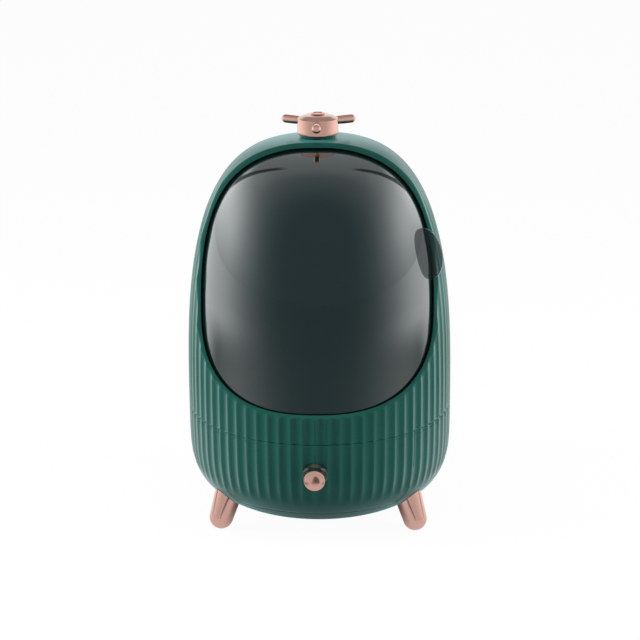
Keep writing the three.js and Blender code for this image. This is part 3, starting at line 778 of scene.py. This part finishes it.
def set_lamps(level):
    """Softboxes that no piece mirrors: where each stands, its size and its power."""
    aim = Vector((0, 0, 0.16))
    places = {
        "softbox_over": ((0.1, -0.5, 2.4), (1.2, 1.0), 9),
        "softbox_left": ((-1.3, -0.25, 0.6), (0.5, 1.0), 25),
        "softbox_right": ((1.3, -0.25, 0.6), (0.5, 1.0), 19),
    }
    for name, (spot, (width, height), power) in places.items():
        data = bpy.data.lights.new(name, "AREA")
        data.shape, data.size, data.size_y, data.energy = "RECTANGLE", width, height, power * level
        lamp = linked(bpy.data.objects.new(name, data))
        lamp.visible_glossy = False
        away = aim - Vector(spot)
        lamp.matrix_world = Matrix.Translation(spot) @ away.to_track_quat("-Z", "Y").to_matrix().to_4x4()


class ORGANIZER_OT_stage(Operator):
    """Camera, pale floor, white surroundings and soft studio lamps"""

    bl_idname = "organizer.stage"
    bl_label = "Stage"

    def execute(self, context):
        settings = context.scene.organizer_stage
        set_camera(context)
        set_floor(settings.floor_size)
        set_world(context, settings.world_level)
        set_lamps(settings.lamp_level)
        context.scene.view_settings.view_transform = "Standard"
        return {"FINISHED"}


# Pieces


class ORGANIZER_OT_finishes(Operator):
    """Materials of the organizer box, and those of the frame pieces that stay in sight"""

    bl_idname = "organizer.finishes"
    bl_label = "Finishes"

    def execute(self, context):
        colours = context.scene.organizer_finish
        finishes = {
            "satin_green": moulded_plastic(
                colours.case_green, rough=0.3, grain_strength=0.12, polish=0.5, haze=0.35
            ),
            "inner_green": moulded_plastic(colours.inner_green, rough=0.52, grain_strength=0.2),
            "smoked_acrylic": acrylic(colours.smoked, alpha=0.93, rough=0.04),
            "clear_acrylic": acrylic(colours.tab_clear, alpha=0.5, rough=0.03),
            "rose_gold": polished_metal(colours.rose_gold, rough=0.1, grain=0.08, scale=1500),
            "pale_nylon": moulded_plastic(colours.nylon, rough=0.45, grain_strength=0.1),
            "screw_steel": polished_metal(colours.steel, rough=0.33, grain=0.15, scale=2600),
        }
        for name, build in finishes.items():
            new_finish(name, build)
        return {"FINISHED"}


def fluted(shape, name):
    """The object of a skin, with the flute tree run on it."""
    skin = bpy.context.scene.organizer_skin
    tree = bpy.data.node_groups.get("flutes") or flute_tree()
    settings = {key: getattr(skin, key) for key in OrganizerSkinSettings.__annotations__}
    return grown(shape.object(name), "satin_green", tree, **settings)


def flute_angles(count):
    """Angles of the columns of a fluted skin, with one on each edge between two flutes."""
    steps = count * COLUMNS_PER_FLUTE
    return np.arange(-steps // 2, steps // 2) * (FULL_TURN / steps)


class Opening:
    """The upper chamber's opening: its edge on the skin, and the flared rim through the wall."""

    STEPS = 8001

    def __init__(self):
        self.top = float(OUTER.at(OUTER.where_radius(OPENING_TOP_SETBACK))[1])
        self.widest = between(OPENING_SILL, self.top, OPENING_WIDEST_SHARE)
        swing = np.linspace(-math.pi / 2, math.pi / 2, self.STEPS)
        across, up = np.maximum(np.cos(swing), 0), np.sin(swing)
        powers = np.where(up >= 0, *OPENING_POWERS)
        reach = np.where(up >= 0, self.top - self.widest, self.widest - OPENING_SILL)
        stretch = (across ** powers + np.abs(up) ** powers) ** (-1 / powers)
        height = self.widest + reach * up * stretch
        along = OUTER.where_height(height)
        angle = np.arcsin(np.clip(OPENING_HALF_WIDTH * across * stretch / OUTER.at(along)[0], 0, 1))
        peak = int(angle.argmax())
        self.corner = float(angle[peak])
        self.low = (angle[: peak + 1], along[: peak + 1])
        self.high = (angle[peak:][::-1], along[peak:][::-1])

    def edge(self, angles, upper):
        """Place of the edge along the outline, at angles within the opening."""
        branch = self.high if upper else self.low
        return np.interp(np.abs(angles), *branch)

    @staticmethod
    def flare(points):
        """Direction in which the rim opens outwards at each point."""
        share = np.interp(points[:, 2], (OPENING_SILL, CROWN), RIM_FOCUS_SHARES)
        focus = np.zeros_like(points)
        focus[:, 1] = -BODY_RADIUS * RIM_FOCUS_FORWARD
        focus[:, 2] = between(OPENING_SILL, CROWN, share)
        return unit(points - focus)

    @staticmethod
    def through_wall(points, flare):
        """Where the lines of the rim reach the wall's inner face."""

        def in_wall(depth):
            spot = points - flare * depth[:, None]
            radius = turned_about_axis(spot)[1]
            return (radius > INNER.radius_at(spot[:, 2])) | (spot[:, 2] > CROWN - WALL)

        return points - flare * still_true(in_wall, len(points), 4 * WALL)[:, None]

    def away(self, points, outline):
        """Direction along the wall, away from the opening, and the wall's normal."""
        angle, radius = turned_about_axis(points)
        radial, rise = outline.normal(outline.nearest(radius, points[:, 2]))
        normal = around(angle, radial, rise)
        run = np.roll(points, -1, axis=0) - np.roll(points, 1, axis=0)
        side = unit(np.cross(run, normal))
        centre = np.array([0, -BODY_RADIUS, self.widest])
        return side * np.sign(np.sum(side * (points - centre), axis=1))[:, None], normal


def case_columns(corner, count):
    """Angles of the mesh's columns: on the flutes, and closer together beside the opening."""
    base = flute_angles(count)
    steps, spread, clear, arris_clear = 9, math.radians(2.6), math.radians(0.2), math.radians(0.02)
    close = corner - spread * (np.arange(steps) / (steps - 1)) ** 2
    close = np.concatenate([close, -close])
    gap = np.abs(base[:, None] - close).min(axis=1)
    flutes = base / (FULL_TURN / count)
    arris = np.abs(flutes - np.round(flutes)) < TOUCHING
    return np.sort(np.concatenate([base[(gap > clear) | (arris & (gap > arris_clear))], close]))


def case_sheet(shape, columns, order, upper, rim, outline, foot, press):
    """One face of the wall: columns from its foot to the crown, split where the opening is.

    order has the column of each point of the rim, and upper says which are on the opening's upper edge.
    press is zero for a face without flutes.
    """
    angle, radius = turned_about_axis(rim)
    place = outline.nearest(radius, rim[:, 2])
    low, high = ({c: i for i, c in enumerate(order) if upper[i] == part} for part in (False, True))
    start, end = outline.where_height(foot), outline.where_radius(CROWN_HOLE)
    low_share, high_share = (np.linspace(0, 1, rows + 1) for rows in (LOW_ROWS, HIGH_ROWS))
    lower, higher, rim_points = [], [], {}

    def points(angles, places, on_rim, row):
        """Points up a column and their press. One row of them may be on the rim."""
        spots, push = around(angles, *outline.at(places)), inward(angles) * press.any()
        if on_rim is not None:
            spots[row], push[row] = rim[on_rim], press[on_rim]
        return spots, push

    for c, column in enumerate(columns):
        at, turned, on_rim = place[0], column, low.get(c)
        if on_rim is not None:
            at, turned = place[on_rim], angle[on_rim]
        angles = between(column, turned, low_share ** WARP)
        numbers = shape.add(*points(angles, between(start, at, low_share), on_rim, -1))
        if on_rim is not None:
            rim_points[on_rim] = numbers[-1]
        lower.append(numbers)

        on_rim = high.get(c)
        if on_rim is not None:
            at, turned = place[on_rim], angle[on_rim]
        angles = between(column, turned, (1 - high_share) ** WARP)
        spots, push = points(angles, between(at, end, high_share), on_rim, 0)
        if on_rim is None:
            higher.append(np.append(numbers[-1], shape.add(spots[1:], push[1:])))
        else:
            higher.append(shape.add(spots, push))
            rim_points[on_rim] = higher[-1][0]
    for group in (lower, higher):
        shape.join(group, closed=False, round_again=True)
    return {
        "rim": [rim_points[i] for i in range(len(order))],
        "foot": [column[0] for column in lower],
        "crown": [column[-1] for column in higher],
    }


class ORGANIZER_OT_upper_case(Operator):
    """Fluted upper case with its flared opening"""

    bl_idname = "organizer.upper_case"
    bl_label = "Upper case"

    def execute(self, context):
        opening = Opening()
        columns = case_columns(opening.corner, context.scene.organizer_skin.flute_count)
        left, right = (int(np.abs(columns - side * opening.corner).argmin()) for side in (-1, 1))
        front = list(range(left + 1, right))
        order = [left, *front, right, *front[::-1]]
        upper = np.arange(len(order)) > len(front) + 1
        loop = columns[order]
        places = np.where(upper, opening.edge(loop, True), opening.edge(loop, False))
        edge = around(loop, *OUTER.at(places))
        flare = opening.flare(edge)
        away, normal = opening.away(edge, OUTER)
        back = opening.through_wall(edge, flare)
        back_away = opening.away(back, INNER)[0]

        # On the rim a flute presses along the flare, which keeps the rim's surface as it is
        radial = around(loop, 1.0, 0.0)
        slip = np.sum(radial * normal, axis=1) / np.sum(flare * normal, axis=1)
        press = -flare * slip[:, None]

        shape = Shape()
        corner = 1 - math.sqrt(0.5)
        rim_columns = columns, order, upper
        rim = edge + RIM_EDGE * away
        outside = case_sheet(shape, *rim_columns, rim, OUTER, UPPER_BOTTOM + SEAM_EDGE, press)
        rim = back + RIM_EDGE * back_away
        within = case_sheet(shape, *rim_columns, rim, INNER, FLANGE_TOP, 0 * press)
        shape.join([
            outside["rim"],
            shape.add(edge + corner * RIM_EDGE * (away - flare), press),
            shape.add(edge - RIM_EDGE * flare, press),
            shape.add(back + RIM_EDGE * flare),
            shape.add(back + corner * RIM_EDGE * (flare + back_away)),
            within["rim"],
        ])
        lip = OUTER.radius_at(UPPER_BOTTOM) - SEAM_EDGE
        bore = INNER.radius_at(WAIST) - FLANGE_WIDTH
        shape.join([
            outside["foot"],
            shape.ring(columns, lip, UPPER_BOTTOM, inward(columns)),
            shape.ring(columns, bore, UPPER_BOTTOM),
            shape.ring(columns, bore, FLANGE_TOP),
            within["foot"],
        ])
        shape.bridge(outside["crown"], within["crown"])
        skin = fluted(shape, "fluted_upper_case")
        finished(skin, "satin_green", "case", "case_green", "upper_shell", sharp=SKIN_SHARP)
        return {"FINISHED"}


def filled(bm, *groups):
    """Closes each group of edges with one flat face."""
    for edges in groups:
        bmesh.ops.contextual_create(bm, geom=edges)


def cut_faces(bm, point, normal):
    geometry = [*bm.verts, *bm.edges, *bm.faces]
    bmesh.ops.bisect_plane(bm, geom=geometry, dist=CUT_TOLERANCE, plane_co=point, plane_no=normal)


def open_edges(bm):
    return [edge for edge in bm.edges if len(edge.link_faces) == 1]


def open_bay(bm):
    """Cuts the drawer's bay and closes the cut wall."""
    seam, sill = AXIS.y - DRAWER_SEAM * MM, DRAWER_SILL * MM
    cut_faces(bm, (0, seam, 0), (0, 1, 0))
    cut_faces(bm, (0, 0, sill), (0, 0, 1))
    gone = [f for f in bm.faces if f.calc_center_median().y < seam and f.calc_center_median().z > sill]
    bmesh.ops.delete(bm, geom=gone, context="FACES")
    groups = {"sill": [], "left": [], "right": []}
    corners = {"left": [], "right": []}
    for edge in open_edges(bm):
        side = "right" if edge.verts[0].co.x > AXIS.x else "left"
        on_sill = [v for v in edge.verts if abs(v.co.z - sill) < TOUCHING]
        if len(on_sill) == 2:
            groups["sill"].append(edge)
        else:
            groups[side].append(edge)
            corners[side] += on_sill
    for side, ends in corners.items():
        across = bm.edges.new(ends)
        groups[side].append(across)
        groups["sill"].append(across)
    filled(bm, *groups.values())
    bmesh.ops.recalc_face_normals(bm, faces=bm.faces)


def add_ledge(skin):
    """Adds the ledge that the upper case stands on. In front of the drawer it stands free of the wall."""
    angles = even_turn(180)
    seat, sunk, clear = INNER.radius_at(WAIST), 0.4, 0.02
    free = -np.cos(angles) * seat < -DRAWER_SEAM
    reach, bore = np.where(free, seat - FIT, seat + sunk), seat - FLANGE_WIDTH
    low, high = LEDGE_BOTTOM, LOWER_TOP - clear
    corners = [(bore, low), (reach, low), (reach, high), (bore, high)]
    shape = Shape()
    shape.join([shape.ring(angles, *corner) for corner in corners], round_again=True)
    ledge = shape.object("ledge")
    edited(skin.data, lambda bm: bm.from_mesh(ledge.data))
    bpy.data.objects.remove(ledge)


class ORGANIZER_OT_lower_case(Operator):
    """Fluted lower case with the drawer's opening in its front"""

    bl_idname = "organizer.lower_case"
    bl_label = "Lower case"

    def execute(self, context):
        angles = flute_angles(context.scene.organizer_skin.flute_count)
        press = inward(angles)
        plate_hole, floor_edge, inner_edge, inner_run = 40.3, 1.6, 0.4, 2
        foot, top = OUTER.where_height(BOTTOM + floor_edge / 2), OUTER.where_height(LOWER_TOP - SEAM_EDGE)
        inner_foot = INNER.where_height(BOTTOM + WALL + inner_edge)
        places = np.linspace(foot, top, 27)
        inner_places = np.linspace(INNER.where_height(LOWER_TOP), inner_foot, 18)
        shape = Shape()
        shape.join([
            shape.ring(angles, plate_hole, BOTTOM),
            shape.ring(angles, OUTER.radius[0] - floor_edge, BOTTOM),
            *shape.rows(angles, OUTER, places, press),
            shape.ring(angles, OUTER.radius_at(LOWER_TOP) - SEAM_EDGE, LOWER_TOP, press),
            *shape.rows(angles, INNER, inner_places),
            shape.ring(angles, INNER.at(inner_foot)[0] - inner_run, BOTTOM + WALL),
            shape.ring(angles, plate_hole, BOTTOM + WALL),
        ], round_again=True)
        skin = fluted(shape, "fluted_lower_case")
        edited(skin.data, open_bay)
        add_ledge(skin)
        finished(skin, "satin_green", "case", "case_green", "base_shell", sharp=SKIN_SHARP)
        return {"FINISHED"}


def trim_front(bm):
    """Cuts the front off at the drawer's seam and closes both ends."""
    seam = AXIS.y - (DRAWER_SEAM + DRAWER_GAP) * MM
    cut_faces(bm, (0, seam, 0), (0, 1, 0))
    gone = [v for v in bm.verts if v.co.y > seam + TOUCHING]
    bmesh.ops.delete(bm, geom=gone, context="VERTS")
    sides = [], []
    for edge in open_edges(bm):
        sides[edge.verts[0].co.x > AXIS.x].append(edge)
    filled(bm, *sides)
    bmesh.ops.recalc_face_normals(bm, faces=bm.faces)


class ORGANIZER_OT_drawer_front(Operator):
    """Fluted drawer front, flush with the lower case"""

    bl_idname = "organizer.drawer_front"
    bl_label = "Drawer front"

    def execute(self, context):
        angles = flute_angles(context.scene.organizer_skin.flute_count)
        angles = angles[np.abs(angles) < DRAWER_REACH]
        press = inward(angles)
        low, high = DRAWER_SILL + DRAWER_GAP, LOWER_TOP
        places = np.linspace(OUTER.where_height(low + SEAM_EDGE), OUTER.where_height(high - SEAM_EDGE), 22)
        inner_places = np.linspace(INNER.where_height(high), INNER.where_height(low), 14)
        shape = Shape()
        shape.join([
            shape.ring(angles, OUTER.radius_at(low) - SEAM_EDGE, low, press),
            *shape.rows(angles, OUTER, places, press),
            shape.ring(angles, OUTER.radius_at(high) - SEAM_EDGE, high, press),
            *shape.rows(angles, INNER, inner_places),
        ], closed=False, round_again=True)
        skin = fluted(shape, "fluted_drawer_front")
        edited(skin.data, trim_front)
        finished(skin, "satin_green", "drawer", "case_green", "drawer_front", sharp=SKIN_SHARP)
        return {"FINISHED"}


def make_screen():
    """Part of a turn of the inset outline, and a whole turn of it round the pivot."""
    inset, thick, foot, disc = 5.1, 2.2, 101.1, 12.0
    half, across, behind, disc_rows = math.radians(86), 173, 60, 5
    spread = np.linspace(-half, half, across)
    rest = np.linspace(half, FULL_TURN - half, behind)[1:-1]
    angles = np.concatenate([spread, rest])
    shape = Shape()
    sheets = []
    for outline in (Meridian(inset), Meridian(inset + thick)):
        wide = np.linspace(outline.where_height(foot), outline.where_radius(disc), SCREEN_ROWS)
        narrow = np.linspace(wide[-1], outline.where_radius(CROWN_HOLE), disc_rows)
        rows = [*shape.rows(spread, outline, wide[:-1]), *shape.rows(angles, outline, narrow)]
        shape.join([row[:across] for row in rows[:SCREEN_ROWS]], closed=False)
        shape.join(rows[SCREEN_ROWS - 1:])
        sheets.append(rows)
    one, other = sheets
    shape.bridge(one[0], other[0], closed=False)
    shape.bridge(one[-1], other[-1])
    for end in (0, across - 1):
        shape.bridge(*([row[end] for row in rows[:SCREEN_ROWS]] for rows in sheets), closed=False)
    whole = [rows[SCREEN_ROWS - 1] for rows in sheets]
    shape.bridge(*(np.append(row[across - 1:], row[0]) for row in whole), closed=False)
    screen = shape.object("smoked_visor")
    bevelled(screen, width=0.5, segments=2, angle=50)
    finished(screen, "smoked_acrylic", "visor_unit", "visor_smoke", "visor", sharp=40)


def make_tab():
    copy = frame_copy("visor_tab", "clear_finger_tab")
    bevelled(copy, width=0.45, segments=3, angle=40)
    finished(copy, "clear_acrylic", "visor_unit", "tab_clear", "visor_tab", sharp=30)


class ORGANIZER_OT_visor(Operator):
    """Smoked visor and its clear finger tab"""

    bl_idname = "organizer.visor"
    bl_label = "Visor"

    def execute(self, context):
        make_screen()
        make_tab()
        return {"FINISHED"}


def bevelled(obj, width, segments, angle):
    """Rounds a piece's edges and keeps the result as a plain mesh."""
    modifier = obj.modifiers.new("edges", "BEVEL")
    modifier.width, modifier.segments = width * MM, segments
    modifier.limit_method, modifier.angle_limit = "ANGLE", math.radians(angle)
    return plain_mesh(obj)


def frame_copy(node, name):
    """A merged copy of a frame node, with its flat faces whole."""
    flat = math.radians(1)
    mesh = frame["nodes"][node].data.copy()
    mesh.name = name

    def clean(bm):
        bmesh.ops.remove_doubles(bm, verts=bm.verts, dist=TOUCHING)
        bmesh.ops.dissolve_limit(bm, angle_limit=flat, verts=bm.verts, edges=bm.edges)

    edited(mesh, clean)
    return bpy.data.objects.new(name, mesh)


def rounded(corners, edges, steps=4):
    """Rounds the inner corners of a profile of radius and height pairs by an edge radius each."""
    most_of_side = 0.49
    out = [corners[0]]
    for before, here, after, size in zip(corners, corners[1:], corners[2:], edges):
        here, before, after = map(np.array, (here, before, after))
        one, other = unit(before - here), unit(after - here)
        half = math.acos(np.clip(one @ other, -1, 1)) / 2
        sides = (np.linalg.norm(end - here) * most_of_side for end in (before, after))
        reach = min(size / math.tan(half), *sides)
        start, end = here + one * reach, here + other * reach
        for share in np.arange(steps + 1) / steps:
            out.append(tuple((1 - share) ** 2 * start + 2 * share * (1 - share) * here + share ** 2 * end))
    return [*out, corners[-1]]


def turned(name, corners, edges, steps, edge_steps=4):
    """An object turned about the case's axis from a profile with rounded corners."""
    shape = Shape()
    shape.lathe(rounded(corners, edges, edge_steps), steps)
    return shape.object(name)


def blade_lobe(name):
    """Rounded lobe along a level line to the front, its root in the hub and its tip half round."""
    root, tip, half, flat, axis = 15.6, 34.0, 3.7, 7.0 / 7.4, 327.4
    tip_rows, sides = 12, 32
    profile = [(half * 0.9, root), (half * 0.95, root + 3), (half, root + 8)]
    for swing in np.linspace(0, math.pi / 2, tip_rows)[:-1]:
        profile.append((half * math.cos(swing) ** 0.9, tip - half * 1.05 * (1 - math.sin(swing))))
    flatten = Matrix.Translation((0, 0, axis)) @ Matrix.Diagonal((1, 1, flat, 1))
    shape = Shape()
    shape.lathe([(0, root), *profile, (0, tip)], sides, flatten @ Matrix.Rotation(math.pi / 2, 4, "X"))
    return shape.object(name)


class ORGANIZER_OT_propeller(Operator):
    """Collar, hub, three blades and cap on the crown"""

    bl_idname = "organizer.propeller"
    bl_label = "Propeller"

    def execute(self, context):
        profile = [(2.8, 315.8), (14.5, 315.8), (14.5, 317.7), (2.8, 317.7)]
        collar = turned("crown_collar", profile, [0.3, 0.3], steps=96, edge_steps=2)
        finished(collar, "satin_green", "case", "case_green", "hub_collar")

        profile = [
            (0, 318), (16.4, 318), (16.4, 330.6), (15.3, 331.1), (11, 333.0), (5.6, 333.8), (0, 333.8),
        ]
        hub = turned("propeller_drum", profile, [0.8, 0.7, 2, 8, 2], steps=96)
        finished(hub, "rose_gold", "propeller", "rose_gold", "propeller_hub", sharp=40)

        blades = grown(blade_lobe("propeller_blades"), "rose_gold", ring_tree(), Count=3)
        nodes = [f"propeller_blade_{number}" for number in (1, 2, 3)]
        finished(blades, "rose_gold", "propeller", "rose_gold", *nodes, sharp=60)

        profile = [(0, 334.1), (5.6, 334.1), (5.6, 335), (4.1, 335), (3.5, 334.5), (0, 334.4)]
        cap = turned("propeller_button", profile, [0.1, 0.35, 0.3, 0.3], steps=48)
        finished(cap, "rose_gold", "propeller", "rose_gold", "propeller_cap", sharp=40)
        return {"FINISHED"}


def leg_axis():
    """Places a piece that stands on the upright axis on the splayed axis of a leg at the front."""
    centre = Matrix.Translation((0, -LEG_REACH, LEG_FOOT_RADIUS - LEG_FLAT))
    return centre @ Matrix.Rotation(-math.radians(LEG_SPLAY), 4, "X")


def splayed_leg(name):
    """A leg from its ball foot, flat on the table, to its saddle on the case."""
    skin = Meridian(-FIT)
    foot, top, length, steps = LEG_FOOT_RADIUS, 11.9, 28.0, 48
    overrun, ball_rows, rows = 12.0, 12, 9
    place = np.array(leg_axis())
    angles = even_turn(steps)

    def spots(radius, along):
        local = np.concatenate([around(angles, radius, along), np.ones((steps, 1))], axis=1)
        points = (local @ place.T)[:, :3]
        points[:, 2] = np.maximum(points[:, 2], 0)
        return points

    def across(along):
        """The leg's radius at a distance along it."""
        return foot + (top - foot) * along / length

    def to_skin(share):
        """Where lines at a share of the leg's radius reach the case."""

        def outside(along):
            points = spots(share * across(along), along)
            radius = turned_about_axis(points)[1]
            return (points[:, 2] < BOTTOM - FIT) | (radius > skin.radius_at(points[:, 2]))

        return still_true(outside, steps, length + overrun)

    shape = Shape()
    ends = to_skin(1.0)
    swings = np.linspace(math.pi / 2, 0, ball_rows)[1:]
    rings = [shape.add(spots(foot * math.cos(swing), -foot * math.sin(swing))) for swing in swings]
    pole = shape.add(spots(0.0, -foot)[:1])
    for share in np.linspace(0, 1, rows)[1:]:
        rings.append(shape.add(spots(across(ends * share), ends * share)))
    for share in (0.66, 0.33):
        along = to_skin(share)
        rings.append(shape.add(spots(share * across(along), along)))
    shape.fan(rings[0], pole[0])
    shape.join(rings)
    shape.fan(rings[-1], shape.add(spots(0.0, to_skin(1e-4))[:1])[0])
    return shape.object(name)


class ORGANIZER_OT_legs(Operator):
    """Four splayed legs that hug the case"""

    bl_idname = "organizer.legs"
    bl_label = "Legs"

    def execute(self, context):
        legs = grown(splayed_leg("splayed_legs"), "rose_gold", pairs_tree(), Count=4, **LEG_PAIRS)
        nodes = [f"leg_{place}" for place in LEG_PLACES]
        finished(legs, "rose_gold", "case", "rose_gold", *nodes, sharp=50)
        return {"FINISHED"}


class ORGANIZER_OT_knob(Operator):
    """Polished drawer knob"""

    bl_idname = "organizer.knob"
    bl_label = "Drawer knob"

    def execute(self, context):
        base, face, reach, clear = 10.0, 8.35, 121.0, 0.05
        angles = even_turn(72)
        shape = Shape()

        def ring(radius, forward=None):
            """A ring about the knob's axis. Without forward it lies close to the drawer front."""
            x, z = radius * np.sin(angles), KNOB_HEIGHT + radius * np.cos(angles)
            if forward is None:
                forward = np.sqrt((OUTER.radius_at(z) + clear) ** 2 - x ** 2)
            return shape.add(np.stack([x, -np.broadcast_to(forward, x.shape), z], axis=-1))

        profile = rounded([
            (base, 108.0), (base, 109.6), (face + 0.25, 113.5),
            (face, reach - 0.6), (4.3, reach - 0.17), (0, reach),
        ], [0.3, 4, 0.9, 8], steps=5)
        rings = [ring(base * 0.5), ring(base), *(ring(*pair) for pair in profile[2:-1])]
        shape.join(rings)
        for end, forward in ((rings[0], OUTER.radius_at(KNOB_HEIGHT) + clear), (rings[-1], reach)):
            shape.fan(end, shape.add([[0, -forward, KNOB_HEIGHT]])[0])
        finished(shape.object("drawer_pull"), "rose_gold", "drawer", "rose_gold", "drawer_knob", sharp=40)
        return {"FINISHED"}


class ORGANIZER_OT_inside(Operator):
    """Tray, dividers, deck, track, shelf, runners, stop and base plate with softened edges"""

    bl_idname = "organizer.inside"
    bl_label = "Inside and underneath"

    def execute(self, context):
        pieces = {
            "drawer_tray": ("tray_bowl", "inner_green", "drawer", 0.5),
            "drawer_divider_long": ("tray_divider_long", "inner_green", "drawer", 0.3),
            "drawer_divider_cross": ("tray_divider_cross", "inner_green", "drawer", 0.3),
            "deck": ("chamber_deck", "inner_green", "case", 0.4),
            "inner_shelf": ("chamber_shelf", "inner_green", "case", 0.5),
            "drawer_stop": ("travel_stop", "inner_green", "case", 0.4),
            "visor_track": ("visor_ring", "pale_nylon", "case", 0.3),
            "drawer_runner_right": ("runner_right", "pale_nylon", "case", 0.3),
            "drawer_runner_left": ("runner_left", "pale_nylon", "case", 0.3),
        }
        for node, (name, finish, body, width) in pieces.items():
            copy = bevelled(frame_copy(node, name), width, segments=2, angle=35)
            finished(copy, finish, body, finish, node, sharp=30)

        profile = [(0, 16), (40, 16), (40, 19.8), (45, 19.8), (45, 21.8), (0, 21.8)]
        plate = turned("base_cover", profile, [0.5, 0.2, 0.3, 0.3], steps=128, edge_steps=3)
        finished(plate, "inner_green", "case", "inner_green", "base_plate", sharp=40)
        return {"FINISHED"}


def node_span(node, place):
    """Where a frame node begins and ends along the upright line that a matrix places, in millimetres."""
    spots = np.array([vertex.co for vertex in frame["nodes"][node].data.vertices])
    spots = (spots - np.array(AXIS)) / MM
    up = np.array(place.inverted())[2]
    along = spots @ up[:3] + up[3]
    return float(along.min()), float(along.max())


def case_screw_reach():
    """Distance of the case's screws from its axis."""
    low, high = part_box("case_screw_1")
    middle = (low + high) / 2 - AXIS
    return math.hypot(middle.x, middle.y) / MM


def threaded_screw(name, head, tip, place):
    """Pan head with a cross recess at the head's end, and a helical thread towards the tip."""
    way = 1 if tip > head else -1
    length = abs(tip - head)
    angles = even_turn(24)
    core, pitch, depth, steps_per_turn = 1.5, 1.1, 0.26, 5
    thread_start, thread_end = 2.5, length - 1.2
    cross = 0.5 + 1.1 * np.abs(np.cos(2 * angles)) ** 6
    rows = [
        (cross * 0.6, 1.1), (cross, 0.02), (2.1, 0.0), (2.75, 0.3), (3.1, 0.9), (3.1, 2.2), (core, 2.2),
    ]
    steps = int((thread_end - thread_start) / pitch * steps_per_turn)
    for along in np.linspace(thread_start, thread_end, steps):
        phase = (along / pitch - way * angles / FULL_TURN) % 1
        rows.append((core - depth * np.abs(2 * phase - 1), along))
    rows += [(1.2, length - 0.8), (0.7, length)]
    shape = Shape()

    def add(points):
        return shape.add([place @ Vector(point) for point in points])

    rings = [add(around(angles, radius, head + way * along)) for radius, along in rows]
    shape.join(rings)
    for ring, along in ((rings[0], 1.15), (rings[-1], length)):
        shape.fan(ring, add([(0, 0, head + way * along)])[0])
    return shape.object(name)


def dress(node, finish):
    """Gives a finish to a frame piece that stays in sight."""
    obj = frame["nodes"][node]
    if not obj.material_slots:
        obj.data.materials.append(None)
    for slot in obj.material_slots:
        slot.link = "OBJECT"
        slot.material = bpy.data.materials[finish]


class ORGANIZER_OT_fasteners(Operator):
    """Screws of the case, the legs and the knob, and finishes for the pivot pin and its washer"""

    bl_idname = "organizer.fasteners"
    bl_label = "Fasteners"

    def execute(self, context):
        upright = Matrix.Translation((0, -case_screw_reach(), 0))
        leg_screw = Matrix.Rotation(LEG_PAIRS["Near"], 4, "Z") @ leg_axis()
        groups = {
            "case_screws": (
                node_span("case_screw_1", Matrix.Identity(4)), upright, CASE_SCREW_PAIRS,
                [f"case_screw_{number}" for number in (1, 2, 3, 4)],
            ),
            "leg_screws": (
                node_span("leg_screw_front_right", leg_screw)[::-1], leg_axis(), LEG_PAIRS,
                [f"leg_screw_{place}" for place in LEG_PLACES],
            ),
        }
        tree = bpy.data.node_groups["mirrored_pairs"]
        for name, (ends, place, pairs, nodes) in groups.items():
            screws = grown(threaded_screw(name, *ends, place), "screw_steel", tree, Count=4, **pairs)
            finished(screws, "screw_steel", "case", "screw_steel", *nodes, sharp=35)

        level = Matrix.Translation((0, 0, KNOB_HEIGHT)) @ Matrix.Rotation(math.pi / 2, 4, "X")
        screw = threaded_screw("pull_screw", *node_span("knob_screw", level), level)
        finished(screw, "screw_steel", "drawer", "screw_steel", "knob_screw", sharp=35)

        dress("pivot_pin", "screw_steel")
        dress("pivot_washer", "pale_nylon")
        return {"FINISHED"}


# Panel and registration


class ORGANIZER_PT_panel(Panel):
    """Lists the organizer box's settings and pieces"""

    bl_idname = "ORGANIZER_PT_panel"
    bl_label = "Organizer Box"
    bl_space_type = "VIEW_3D"
    bl_region_type = "UI"
    bl_category = "Organizer"

    def draw(self, context):
        for group in (getattr(context.scene, name) for name in settings_groups):
            box = self.layout.box()
            for name in group.__annotations__:
                box.prop(group, name)
        for operator in operators:
            self.layout.operator(operator.bl_idname)


settings_groups = {
    "organizer_skin": OrganizerSkinSettings,
    "organizer_finish": OrganizerFinishSettings,
    "organizer_stage": OrganizerStageSettings,
}
operators = (
    ORGANIZER_OT_stage, ORGANIZER_OT_finishes, ORGANIZER_OT_upper_case, ORGANIZER_OT_lower_case,
    ORGANIZER_OT_drawer_front, ORGANIZER_OT_visor, ORGANIZER_OT_propeller, ORGANIZER_OT_legs,
    ORGANIZER_OT_knob, ORGANIZER_OT_inside, ORGANIZER_OT_fasteners,
)
classes = (*settings_groups.values(), *operators, ORGANIZER_PT_panel)


def register():
    for item in classes:
        bpy.utils.register_class(item)
    for name, group in settings_groups.items():
        setattr(bpy.types.Scene, name, PointerProperty(type=group))


def unregister():
    for name in settings_groups:
        delattr(bpy.types.Scene, name)
    for item in reversed(classes):
        bpy.utils.unregister_class(item)


def main():
    register()
    for operator in operators:
        group, name = operator.bl_idname.split(".")
        getattr(getattr(bpy.ops, group), name)()


if __name__ == "__main__":
    main()
